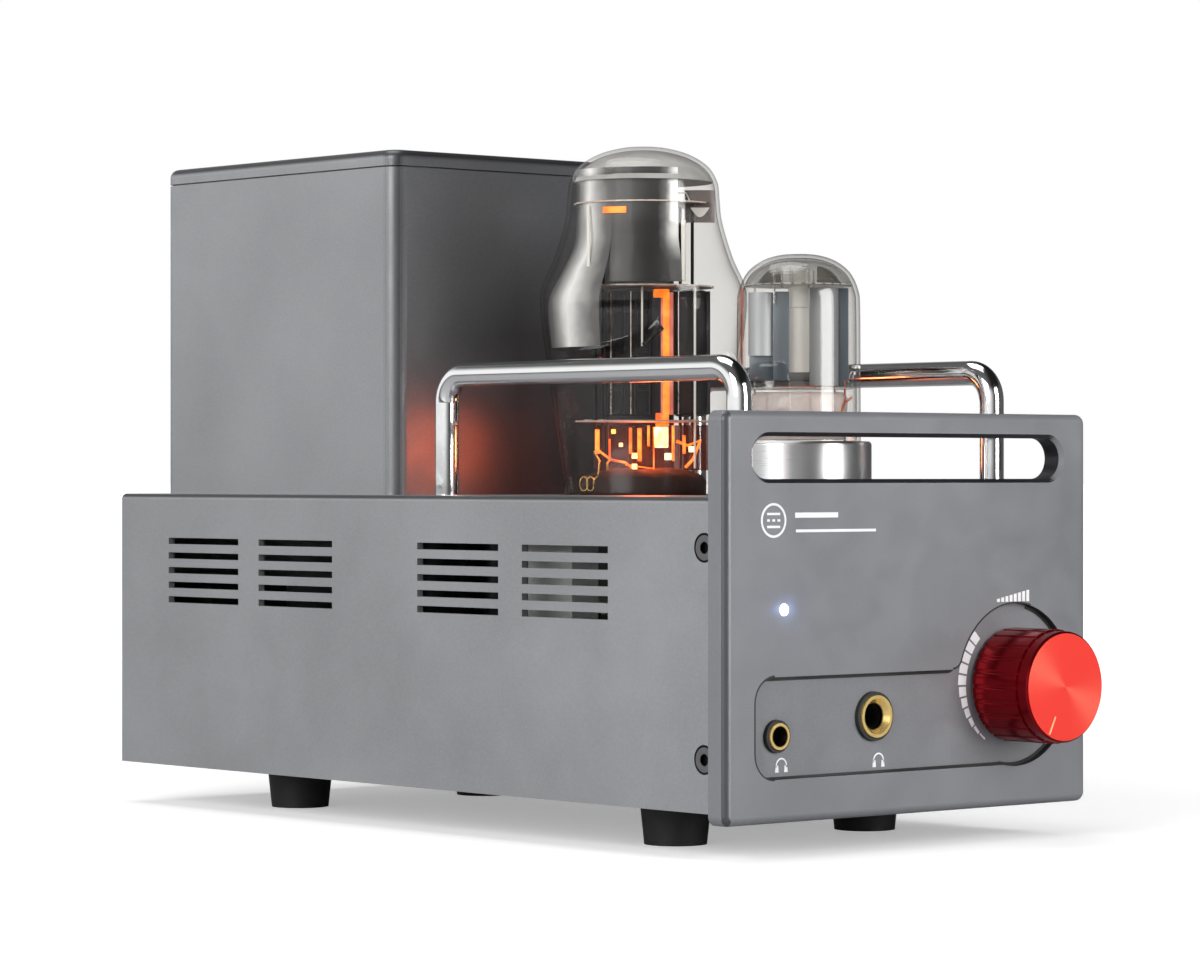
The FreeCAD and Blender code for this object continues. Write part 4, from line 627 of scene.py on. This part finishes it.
def tube_place(tube):
    """The tube's own frame: upright axis through its middle, x to the right in the photo's view."""
    glass = tube + "_glass"
    centre = middle(glass)
    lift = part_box(glass)[1].z - CROWNS[tube] * MM
    return Matrix.Translation((centre.x, centre.y, lift)) @ Matrix.Rotation(radians(VIEW_TURN), 4, "Z")


def envelope(tube, outline, finish):
    """Blown glass bulb with a wall: outline of (radius, height) from the crown down."""
    outer = smooth_line(outline)
    inner = []
    for i, (r, z) in enumerate(outer):
        before = Vector(outer[max(i - 1, 0)])
        after = Vector(outer[min(i + 1, len(outer) - 1)])
        slope = (after - before).normalized()
        inner.append((max(r + GLASS_WALL * slope.y, 0.0), z - GLASS_WALL * abs(slope.x)))
    shape = Shape(tube_place(tube))
    shape.lathe(outer + inner[::-1], steps=128)
    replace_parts(shape.piece(tube + "_envelope", finish, tube, "glass", GLASS_CREASE), tube + "_glass")


def deposit(tube, name, finish, line, thickness, drop=0.0, steps=64, start=0.0, stop=360.0):
    """Thin film on the inside of the bulb, along a line of (radius, height)."""
    line = smooth_line(line)
    back = [(max(r - thickness, 0.0), z - drop) for r, z in reversed(line)]
    shape = Shape(tube_place(tube))
    shape.lathe(line + back, steps, start, stop)
    shape.piece(f"{tube}_{name}", finish, tube, "glass", GLASS_CREASE)


def toothed_disc(shape, radius, teeth, depth, thickness, z):
    """Mica spacer whose rim is cut into small teeth."""
    rim = []
    for i in range(teeth):
        for share, reach in ((0.0, radius), (0.62, radius), (0.70, radius - depth), (0.92, radius - depth)):
            turn = 2 * pi * (i + share) / teeth
            rim.append((reach * sin(turn), reach * cos(turn)))
    shape.skin([[(x, y, height) for x, y in rim] for height in (z, z + thickness)])


def power_tube_bulb():
    """Shouldered bulb with a milky crown and the black getter film round its neck, with painted silver
    reflections on it.
    """
    tube = "power_tube"
    top = CROWNS[tube]
    outline = [(0.0, top), (6.0, top - 0.4), (12.5, top - 2.2), (17.6, top - 5.4), (20.2, top - 9.7),
               (20.8, top - 14.7), (21.5, top - 20.7), (24.4, top - 30.3), (27.4, top - 37), (28.3, top - 42),
               (27.5, top - 51), (25.4, top - 65), (23.9, top - 79), (21.7, top - 93), (20.0, 80.5)]
    envelope(tube, outline, "bulb_glass")
    film_depth = 0.15
    crown = [(0.0, top - 1.2), (6.0, top - 1.6), (12.2, top - 3.4), (16.8, top - 6.6), (19.0, top - 9.7)]
    deposit(tube, "haze", "haze", crown, film_depth, drop=film_depth, steps=96)
    left, seam, right = -125, -28, 30
    side = [(18.3, top - 6.6), (18.4, top - 22), (19.3, top - 28), (22.6, top - 35), (25.6, top - 41),
            (25.9, top - 47), (25.0, top - 55)]
    deposit(tube, "mirror", "mirror", side, film_depth, start=left, stop=seam)
    neck = [(18.2, top - 6.6), (18.3, top - 22), (18.6, top - 26), (19.8, top - 31), (20.6, top - 37.5)]
    deposit(tube, "neck_mirror", "mirror", neck, film_depth, start=seam, stop=right)
    # painted shade: a dark brown film on the back of the bulb behind the hot parts
    behind = [(20.9, 96.5), (21.4, 101.0), (21.9, 106.0), (22.2, 109.0)]
    deposit(tube, "painted_shade_back", "brown_film", behind, 0.12, start=96, stop=216)


def power_tube_frame():
    """Spacers, rods and blackened plates, with the getter's flag and cup below the crown."""
    tube = "power_tube"
    place = tube_place(tube)
    foot, top_mica, mid_mica, low_mica = 97, 168.8, 146.2, 109.6
    shape = Shape(place)
    for z, radius in ((top_mica, 19.0), (mid_mica, 19.3), (low_mica, 18.7)):
        toothed_disc(shape, radius, 40, 0.3, 0.4, z)
        for x in (-15.0, -11.2, 12.0, 13.8):
            eyelet = [(0.5, z + 0.35), (1.2, z + 0.35), (1.2, z + 0.75), (0.5, z + 0.75)]
            shape.lathe(eyelet, steps=16, centre=(x, 0))
    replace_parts(shape.piece("power_tube_spacers", "mica", tube, "mica"), "power_tube_micas")

    # wires beside the neck and along the plates, the getter's bow and a hook, painted bright as highlights
    shape = Shape(place)
    shape.wire(0.42, (-15.0, -16.0, 151.2), (-15.0, -11.8, 168.0))
    shape.wire(0.62, (10.6, -17.4, 147.5), (10.6, -16.2, 163.8))
    shape.post(-0.5, -12.4, 130.0, 146.0, 0.28)
    shape.post(13.8, -11.0, foot, 146.0, 0.32)
    shape.wire(0.22, (0.5, -8, 170.4), (1.8, -8, 172.0), (11.5, -8, 171.6), (12.4, -8, 169.4))
    shape.wire(0.2, (6.6, -16, 154.6), (7.2, -16, 158.2), (8.2, -16, 158.6))
    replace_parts(shape.piece("power_tube_bright_rods", "rod_highlight", tube, "nickel"), "power_tube_rods")
    # painted shade: these nickel posts take the blackened plates' dark finish
    shape = Shape(place)
    for x, y, high, radius in ((-13.2, 4, 168.9, 0.5), (13.4, 3, 168.9, 0.45), (-9.8, -3, 146, 0.4),
                               (10.2, 8, 168.9, 0.45), (-11.0, 9, 168.9, 0.5)):
        shape.post(x, y, foot, high, radius)
    shape.piece("power_tube_dark_rods", "plate", tube, "nickel")

    # two plates side by side, with upright ribs, cross straps and a support wire on their faces
    rib_low, rib_high = 111.6, 145.0
    shape = Shape(place)
    for x, y, wide in ((-4.2, 1.0, 12.6), (13.0, 2.0, 9.4)):
        shape.box((x - wide / 2, y - 9, 111.2), (x + wide / 2, y + 9, 145.4), edge=1.6)
    for y, ribs in ((-8.6, (-10.3, -8.6, -5.7, -2.2, 1.8)), (-7.6, (8.6, 17.6))):
        for x in ribs:
            shape.post(x, y, rib_low, rib_high, 0.45)
    for z in (118.0, 128.5, 139.0):
        shape.box((-10.4, -8.5, z), (2.0, -7.6, z + 0.7), edge=0.2)
    shape.wire(0.75, (-0.3, -12.2, 130.2), (5.0, -11.5, 135.2))
    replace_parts(shape.piece("power_tube_plates", "plate", tube, "plate"), "power_tube_anodes")
    shape = Shape(place)
    for x in (-8.9, -3.5, 9.4):
        shape.wire(0.12, (x, -9.6, rib_low), (x, -9.6, rib_high), sides=6)
    shape.piece("power_tube_plate_edges", "nickel", tube, "nickel")

    # the getter's curved flag, and its cup in front
    steps = 8
    half_turn = 0.9
    flag = []
    for i in range(steps + 1):
        bend = half_turn * (2 * i / steps - 1)
        flag.append((15.2 + 4.1 * sin(bend) / sin(half_turn), -6 - 2.2 * cos(bend)))
    rim = flag + [(x, y + 0.3) for x, y in reversed(flag)]
    shape = Shape(place)
    shape.skin([[(x, y, z) for x, y in rim] for z in (163.6, 172.4)])
    shape.piece("power_tube_flag", "smoke", tube, "plate")
    shape = Shape(place)
    cup = [(12.6 + 5.2 * i / steps, 167.6 - 2.6 * sin(pi * i / steps)) for i in range(steps + 1)]
    shape.skin([[(x, y, z) for x, z in cup] for y in (-8.9, -9.2)])
    shape.piece("power_tube_getter_cup", "cream", tube, "plate")


def power_tube_hot_parts():
    """The glowing strip between the plates, the hot ends of the heaters and the light they give."""
    tube = "power_tube"
    place = tube_place(tube)
    plate_low = 111.5
    shape = Shape(place)
    shape.box((5.2, -10.6, plate_low), (6.9, -9.8, 144.3), edge=0.3)
    shape.box((2.6, -10.6, 143.2), (6.9, -9.8, 145.5), edge=0.3)
    # a short glowing arc at the rim of the top spacer, built into the strip's piece
    shape.lathe([(18.5, 165.7), (18.5, 167.4), (18.9, 167.4), (18.9, 165.7)], steps=12, start=-36, stop=-15)
    shape.piece("power_tube_cathode_strip", "strip", tube, "heater")
    shape = Shape(place)
    shape.box((4.6, -10.0, plate_low), (5.3, -9.2, 143.4), edge=0.2)
    shape.box((6.8, -10.2, plate_low), (8.0, -9.4, 144.6), edge=0.2)
    shape.piece("power_tube_cathode_glow", "dull_glow", tube, "heater")

    # white-hot ends below the plates, then the orange wires between them
    shape = Shape(place)
    shape.box((2.9, -9.6, 102.6), (6.6, -8.6, 108.2), edge=0.3)
    for x, y, z, radius in ((-2.5, -9, 100.4, 0.75), (-2.5, -9, 97.5, 0.7), (6.6, -8, 100.2, 0.9),
                            (13.0, -6, 102.2, 0.75), (-8.2, -6, 107.0, 0.6), (-6.2, -7, 103.4, 0.5)):
        shape.wire(radius, (x, y, z - radius), (x, y, z), (x, y, z + radius), sides=8)
    shape.piece("power_tube_white_hot", "white_hot", tube, "heater")
    shape = Shape(place)
    shape.box((3.2, -9.4, 108.4), (6.8, -8.6, 112.0), edge=0.2)
    for x, y, low, high, radius in ((-12.6, -3, 101, 107.6, 0.6), (-3.6, -8, 101, 108.0, 0.4),
                                    (1.3, -7, 103, 108.6, 0.35), (8.0, -7, 99, 108.6, 0.35),
                                    (11.0, -6, 101, 106.0, 0.4), (-9.5, 2, 99, 105, 0.5),
                                    (-1.0, 6, 99, 108, 0.6)):
        shape.wire(radius, (x, y, low), (x, y, (low + high) / 2), (x, y, high), sides=8)
    shape.post(2.7, -8.4, 96.6, 108.2, 0.18)
    shape.wire(0.18, (-5.0, -8.0, 98.0), (1.8, -8.0, 97.0), (2.6, -8, 97.0))
    shape.wire(0.3, (-12.4, -3, 102.0), (-9, -5, 99.4), (-5, -6, 98.6), (-2.5, -7, 96.6))
    shape.wire(0.4, (9.0, -4, 104.4), (12, -5, 103.2), (15.4, -4, 104.6), (13.6, -3, 99.6), (11.4, -3, 97.2))
    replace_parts(shape.piece("power_tube_hot_wires", "heater", tube, "heater"), "power_tube_heaters")
    glow_place = place @ Vector((0, -1 * MM, 103 * MM))
    point_light("heater_glow", 0.027, (1.0, 0.13, 0.04), 6 * MM, glow_place, tube)


def power_tube_stem():
    """Charred mound at the bulb's foot, with loops of wire in front of it."""
    tube = "power_tube"
    wobble = random.Random(7)
    sides = 72
    rough_above = 94
    rows = []
    for radius, z in ((17.0, 84.6), (17.2, 93.6), (16.0, 95.0), (12.5, 96.2), (8.0, 96.9), (3.5, 96.7)):
        row = []
        for i in range(sides):
            turn = 2 * pi * i / sides
            lift = wobble.uniform(-0.35, 0.35) if z > rough_above else 0.0
            row.append((radius * sin(turn), radius * cos(turn), z + lift))
        rows.append(row)
    shape = Shape(tube_place(tube))
    shape.skin(rows)
    mound = shape.piece("power_tube_stem_mound", "char", tube, "stem_glass", crease=180)
    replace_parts(mound, "power_tube_stem")
    shape = Shape(tube_place(tube))
    turns = [2 * pi * i / 16 for i in range(17)]
    loop = [(1.1 * sin(a), -10.6 + 0.2 * cos(3 * a), 92.8 + 1.9 * cos(a)) for a in turns]
    for centre in (-16.2, -14.4, -12.5, -10.8):
        shape.wire(0.18, *((centre + x, y, z) for x, y, z in loop), sides=8)
    shape.wire(0.25, (-12.4, -9, 94.0), (-12.0, -9, 99.0), (-13.4, -8, 101.6))
    shape.wire(0.3, (-9.6, -8, 94.4), (-10.0, -9, 98.4), (-8.8, -8, 99.8))
    shape.piece("power_tube_brass_loops", "gold", tube, "nickel")


def driver_tube_bulb():
    """Straight bulb with a thin getter film under the crown, a painted reflection of the power tube's red
    glow on its left edge, and the pinched glass stem.
    """
    tube = "driver_tube"
    top = CROWNS[tube]
    outline = [(0.0, top), (5.0, top - 0.3), (9.6, top - 1.8), (13.4, top - 4.8), (15.6, top - 9.4),
               (16.1, top - 14.5), (16.2, top - 34), (16.3, 99.5)]
    envelope(tube, outline, "glass")
    dome = [(0.0, 151.4), (5.0, 151.1), (9.4, 149.7), (12.6, 147.0), (14.2, 144.6)]
    deposit(tube, "getter_film", "dome_film", dome, 0.12, drop=0.12)
    # painted reflection: a salmon strip inside the glass at its left edge stands for the power tube's glow
    # mirrored there
    shape = Shape(tube_place(tube))
    shape.lathe([(15.0, 124.0), (15.0, 144.0), (15.12, 144.0), (15.12, 124.0)], steps=8, start=-92, stop=-78)
    shape.piece("driver_tube_glow_reflection", "salmon", tube, "glass")
    shape = Shape(tube_place(tube))
    press = [(0.0, 104.4), (11.8, 104.4), (12.6, 106.5), (12.9, 115.2), (11.6, 116.8), (0.0, 117.1)]
    shape.lathe(press, steps=64)
    shape.piece("driver_tube_press", "pink_glass", tube, "glass", GLASS_CREASE)


def half_round(left, right, front, low, high):
    """Plate bulging towards the viewer between two edges."""
    steps = 16
    centre, half = (left + right) / 2, (right - left) / 2
    line = []
    for i in range(steps + 1):
        turn = pi * (i / steps - 0.5)
        line.append((centre + half * sin(turn), front + half * (1 - cos(turn))))
    rim = line + [(x, y + 0.4) for x, y in reversed(line)]
    return [[(x, y, z) for x, y in rim] for z in (low, high)]


def driver_tube_inside():
    """Twin bright plates with their slate sides, spacers, getter caps and the copper leads below."""
    tube = "driver_tube"
    place = tube_place(tube)
    shape = Shape(place)
    for z in (144.6, 117.6):
        toothed_disc(shape, 14.3, 32, 0.5, 0.35, z)
    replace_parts(shape.piece("driver_tube_spacers", "clear_mica", tube, "mica"), "driver_tube_micas")

    plate_low, plate_high = 118.4, 144.0
    # painted shade: the right plate, the same metal as the left, takes the darker copy
    shape = Shape(place)
    shape.skin(half_round(2.7, 10.3, -7.2, plate_low, plate_high))
    shape.piece("driver_tube_right_plate", "shaded_plate", tube, "plate")
    shape = Shape(place)
    shape.skin(half_round(-13.2, -6.6, -6.0, 126.3, 142.8))
    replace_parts(shape.piece("driver_tube_left_plate", "silver_plate", tube, "plate"), "driver_tube_anodes")
    shape = Shape(place)
    shape.box((-6.9, -5.4, 119.8), (-2.7, -4.6, 143.0), edge=0.25)
    shape.box((10.2, -3.6, plate_low), (12.9, -2.8, plate_high), edge=0.25)
    shape.box((-13.0, -4.4, 119.8), (-6.8, -3.6, 126.5), edge=0.25)
    shape.piece("driver_tube_plate_sides", "slate_plate", tube, "plate")
    shape = Shape(place)
    shape.box((-2.6, -3.0, 122.0), (2.7, -2.4, 139.0), edge=0.2)
    shape.box((-2.8, -3.4, 139.0), (2.6, -2.6, 144.4), edge=0.2)
    shape.box((-1.9, -3.0, 145.0), (1.9, -2.4, 149.0), edge=0.2)
    shape.piece("driver_tube_cathode", "cream", tube, "ceramic")
    shape = Shape(place)
    for x, y, low, high in ((-6.6, -6.4, 139.8, 148.6), (-4.6, -5, 144, 149), (-2.4, -4, 144, 149.4),
                            (2.4, -4, 144, 149.4), (3.6, -5, 144, 148.4), (-11.6, -3, 116, 144),
                            (9.2, -4, 116, 144), (12.0, -2, 104, 119.5)):
        shape.post(x, y, low, high, 0.28)
    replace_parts(shape.piece("driver_tube_grid_rods", "nickel", tube, "nickel"), "driver_tube_rods")

    shape = Shape(place)
    steps = 12
    cap_foot = 144.8
    for side in (-1, 1):
        cap = [(side * (4.6 + 6.8 * i / steps), 149.6 - 5.2 * (i / steps) ** 2.2) for i in range(steps + 1)]
        rim = cap + [(x, cap_foot) for x, z in reversed(cap)]
        shape.skin([[(x, y, z) for x, z in rim] for y in (-4.5, -4.1)])
    shape.piece("driver_tube_getter_caps", "olive_film", tube, "plate")
    shape = Shape(place)
    shape.wire(0.32, (-6.0, -6, 118.0), (9.0, -6, 118.4))
    shape.wire(0.2, (6.0, -7, 117.2), (9.6, -7, 111.4), (12.0, -7, 107.6))
    shape.wire(0.28, (13.6, -6, 115.4), (11.6, -7, 113.8), (10.4, -7, 110.4))
    shape.wire(0.2, (11.8, -6, 119.8), (11.9, -6, 113.8))
    shape.wire(0.22, (-7.5, -6, 111.0), (-5.4, -6, 112.4), (-3.2, -6, 112.4))
    shape.wire(0.3, (-9, 2, 105.0), (-8, 2, 117.0))
    shape.wire(0.3, (4, 3, 105.0), (3, 3, 117.0))
    shape.piece("driver_tube_copper_leads", "copper", tube, "nickel")


power_tube_bulb()
power_tube_frame()
power_tube_hot_parts()
power_tube_stem()
driver_tube_bulb()
driver_tube_inside()


# ---- printing and the line round the recess ----

def front_place(x=0.0, z=0.0, depth=0.0):
    """A place on the front's face, or on the floor of its recess, with y running inwards."""
    return Matrix.Translation((x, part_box("front_panel")[0].y + depth, z))


def arc(x, z, radius, start, stop, steps=16):
    """Points along a stretch of circle, between two bearings in degrees."""
    turns = [radians(start + (stop - start) * i / steps) for i in range(steps + 1)]
    return [(x + radius * cos(a), z + radius * sin(a)) for a in turns]


def printed(shape, name):
    shape.piece(name, "ink", "chassis", "grey_panel")


def dial_ticks():
    """Ticks growing from a hair at seven o'clock to full width at ten o'clock."""
    knob = middle("volume_knob")
    shape = Shape(front_place(knob.x, knob.z, RECESS_DEPTH))
    count, inner, half_turn = 11, 16.6, 3.9
    first, sweep = 231.5, 94.5
    for i in range(count):
        share = i / (count - 1)
        turn = first - sweep * share
        outer = inner + 0.45 + 2.45 * min(1.0, 1.7 * share)
        ends = (turn - half_turn, turn + half_turn, 6)
        shape.sheet(arc(0, 0, outer, *ends) + arc(0, 0, inner, *ends)[::-1], INK)
    printed(shape, "dial_ticks")


def volume_sign():
    """Wedge of rising bars over the knob."""
    knob = middle("volume_knob")
    shape = Shape(front_place(knob.x - 0.8 * MM, knob.z + 21.6 * MM))
    bars, wide, bar_width, lowest, rise = 8, 12.6, 1.05, 0.6, 2.4
    for i in range(bars):
        left = wide * (i / bars - 0.5)
        right = left + bar_width
        low_side, high_side = (lowest + rise * (i + share) / bars for share in (0.6, 1))
        shape.sheet([(left, 0), (right, 0), (right, high_side), (left, low_side)], INK)
    printed(shape, "volume_sign")


def headphone_signs():
    """A band over two ear pads, below each socket and a little to its right."""
    shape = Shape(front_place(depth=RECESS_DEPTH))
    for ring, drop in (("mini_jack_ring", 7.5), ("headphone_jack_ring", 11.4)):
        centre = middle(ring) / MM
        x, z = centre.x + 2.0, centre.z - drop
        turns = [radians(-8 + 196 * j / 20) for j in range(21)]
        band = [(1.95 * cos(a), 2.1 * sin(a)) for a in turns]
        band += [(1.6 * cos(a), 1.7 * sin(a)) for a in reversed(turns)]
        outlines = [band]
        for side in (-1, 1):
            outlines.append([(side * 0.95, -1.5), (side * 2.15, -1.5), (side * 1.95, 0.2), (side * 1.1, 0.2)])
        for outline in outlines:
            shape.sheet([(x + across, z + up) for across, up in outline], INK)
    printed(shape, "headphone_signs")


def plain_badge():
    """A ring crossed by three bars, with two plain rules beside it."""
    shape = Shape(front_place(-48.6 * MM, 84.0 * MM))
    outer, inner = arc(0, 0, 4.3, 0, 360, 40), arc(0, 0, 3.7, 0, 360, 40)
    for a, b, c, d in zip(outer, outer[1:], inner[1:], inner):
        shape.sheet([a, b, c, d], INK)
    half_bar, side = 0.3, 2.2
    shape.bar(-side, 1.6 - half_bar, side, 1.6 + half_bar)
    for left in (-side, -0.45, 1.3):
        shape.bar(left, -half_bar, left + 0.9, half_bar)
    shape.bar(-side, -1.6 - half_bar, side, -1.6 + half_bar)
    printed(shape, "plain_badge")
    shape = Shape(front_place())
    shape.bar(-41.3, 84.6, -26.5, 85.9)
    shape.bar(-41.0, 81.0, -13.2, 81.7)
    printed(shape, "plain_rules")


def recess_line():
    """Painted shadow round the recess: a black line partly on the face along its rim and partly on its floor.
    """
    knob = middle("volume_knob") / MM
    left, top, base, corner, neck, dial = -54.7, 45.3, 20.0, 6.5, 3.5, 21.2
    neck_z = top + neck
    neck_x = knob.x - sqrt((dial + neck) ** 2 - (neck_z - knob.z) ** 2)
    meet = degrees(atan2(neck_z - knob.z, neck_x - knob.x))
    foot = degrees(asin((base - knob.z) / dial))
    foot_x = knob.x - dial * cos(radians(-foot))
    dial_top = 75
    in_x, in_top, in_base = left + corner, top - corner, base + corner
    top_corner = arc(in_x, in_top, corner, 180, 90)
    base_corner = arc(in_x, in_base, corner, 270, 180)
    neck_bend = arc(neck_x, neck_z, neck, 270, 180 + meet)
    # stretches, each with the line's width at its start and its end
    on_face = (([(left, in_base), (left, in_top)], 0.42, 0.42), (top_corner, 0.42, 0.5),
               (neck_bend, 0.5, 0.45), (arc(knob.x, knob.z, dial, meet, dial_top, 48), 0.45, 0.35),
               (base_corner, 0.3, 0.42))
    on_floor = ((top_corner, 0.1, 1.0), ([(in_x, top), (neck_x, top)], 1.0, 1.0), (neck_bend, 1.0, 0.4),
                (arc(knob.x, knob.z, dial, dial_top, -180 - foot, 64), 0.9, 0.9),
                ([(foot_x, base), (in_x, base)], 0.7, 0.55), (base_corner, 0.55, 0.1))
    for name, stretches, depth, thickness, outwards in (
            ("recess_rim_shadow", on_face, 0, INK, -1), ("recess_painted_shadow", on_floor, RECESS_DEPTH, 0.12, 1)):
        shape = Shape(front_place(depth=depth))
        for line, first, last in stretches:
            count = len(line) - 1
            for i, (a, b) in enumerate(zip(line, line[1:])):
                along = (Vector(b) - Vector(a)).normalized()
                aside = Vector((along.y, -along.x)) * outwards
                near_a, near_b = (Vector(end) + aside * (first + (last - first) * (i + step) / count)
                                  for step, end in enumerate((a, b)))
                shape.sheet([a, b, tuple(near_b), tuple(near_a)], thickness)
        shape.piece(name, "painted_shadow", "chassis", "rubber")


def knob_pointer():
    """Pale line on the knob's face, pointing to seven o'clock at rest."""
    knob = middle("volume_knob")
    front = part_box("volume_knob")[0].y
    bearing = 243
    turned = Matrix.Rotation(radians(90 - bearing), 4, "Y")
    shape = Shape(Matrix.Translation((knob.x, front, knob.z)) @ turned)
    inner, outer = 8.4, 13.4
    shape.sheet([(-0.22, inner), (0.22, inner), (0.3, outer), (-0.3, outer)], INK)
    shape.piece("knob_pointer", "pointer", "volume_control", "red_knob")


def lamp_lens():
    """Domed lens over the power lamp, with its own small light."""
    centre = middle("power_lamp")
    shape = Shape(front_place(centre.x, centre.z) @ Matrix.Rotation(radians(90), 4, "X"))
    shape.lathe([(0.0, -1.0), (1.35, -1.0), (1.35, 0.0), (1.2, 0.25), (0.7, 0.4), (0.0, 0.45)], steps=32)
    shape.piece("lamp_lens", "lamp", "chassis", "lamp")
    before = front_place(centre.x + 1.4 * MM, centre.z, -2.2 * MM).translation
    point_light("lamp_light", 0.0006, (0.35, 0.5, 1.0), 1.0 * MM, before, "chassis")


dial_ticks()
volume_sign()
headphone_signs()
plain_badge()
recess_line()
knob_pointer()
lamp_lens()


# ---- stage ----

def build_floor():
    """Pale floor, darker to the object than to the eye."""
    foot = (0, 0, CAD_BOX[0].z)
    bpy.ops.mesh.primitive_circle_add(vertices=96, radius=40, fill_type="NGON", location=foot)
    floor = bpy.context.object
    floor.name = "floor"
    pale = (0.90, 0.90, 0.90)
    paint = Paint("floor", pale, roughness=0.7)
    cloudy = paint.between(paint.noise(0.4, 2.0), pale, (0.95, 0.95, 0.95))
    seen = paint.node("ShaderNodeLightPath").outputs["Is Camera Ray"]
    paint.set("Base Color", paint.between(seen, (0.42, 0.42, 0.43), cloudy))
    away = paint.node("ShaderNodeVectorMath", operation="LENGTH")
    paint.feed(away.inputs[0], paint.place)
    paint.set("Emission Color", (*WHITE, 1))
    lift = paint.span(away.outputs["Value"], 0.36, 1.0, 0.15, 1.0)
    paint.set("Emission Strength", paint.times(seen, lift))
    floor.data.materials.append(FINISHES["floor"])


def build_world():
    """White to the eye; it lights the object from behind and the left, less from above and in front."""
    world = bpy.data.worlds.new("studio")
    bpy.context.scene.world = world
    world.use_nodes = True
    nodes = Nodes(world.node_tree)
    ray = nodes.node("ShaderNodeTexCoord").outputs["Generated"]
    towards = nodes.node("ShaderNodeVectorMath", operation="DOT_PRODUCT")
    nodes.feed(towards.inputs[0], ray)
    nodes.feed(towards.inputs[1], (-0.80, 0.60, 0))
    smooth = {"interpolation_type": "SMOOTHSTEP"}
    height = nodes.span(nodes.part(ray, "Z"), 1.0, 0.12, 0.30, 0.62, **smooth)
    around = nodes.span(towards.outputs["Value"], 0.10, 1.0, -0.35, 0.45, **smooth)
    seen = nodes.node("ShaderNodeLightPath").outputs["Is Camera Ray"]
    background = world.node_tree.nodes["Background"]
    nodes.feed(background.inputs["Strength"], nodes.maths("MAXIMUM", nodes.times(height, around), seen))
    nodes.feed(background.inputs["Color"], (*WHITE, 1))


def build_camera():
    """The photo's view: level, from the front left."""
    lens = bpy.data.cameras.new("photo_view")
    lens.lens = 124.3
    lens.sensor_width = 36
    lens.shift_y = -1 / 240
    lens.clip_start = 0.05
    camera = placed("photo_view", lens, (-0.7502, -0.8706, 0.0952))
    camera.rotation_euler = (radians(90), 0, radians(VIEW_TURN))
    bpy.context.scene.camera = camera


def soft_box(name, place, width, height, power):
    lamp = bpy.data.lights.new(name, "AREA")
    lamp.shape = "RECTANGLE"
    lamp.size = width
    lamp.size_y = height
    lamp.energy = power
    aim = Vector((0, 0, 0.09))
    thing = placed(name, lamp, place)
    thing.rotation_euler = (aim - Vector(place)).to_track_quat("-Z", "Y").to_euler()
    return thing


def spare(lamp, *nodes):
    """Keeps a lamp's light off some nodes."""
    kept_off = bpy.data.collections.new(lamp.name + "_kept_off")
    for name in nodes:
        kept_off.objects.link(bpy.data.objects[name])
    lamp.light_linking.receiver_collection = kept_off
    for entry in kept_off.collection_objects:
        entry.light_linking.link_state = "EXCLUDE"


def build_lights():
    left = soft_box("left_box", (-1.25, -0.35, 0.60), 0.7, 0.8, 13.7)
    front = soft_box("front_box", (0.26, -1.25, 0.40), 0.55, 0.8, 13)
    soft_box("top_box", (-0.1, 0.3, 1.4), 0.9, 0.9, 8)
    spare(left, "power_tube_envelope", "driver_tube_envelope")
    spare(front, "transformer_cover", "transformer_cap")


build_floor()
build_world()
build_camera()
build_lights()
bpy.context.scene.view_settings.view_transform = "Standard"
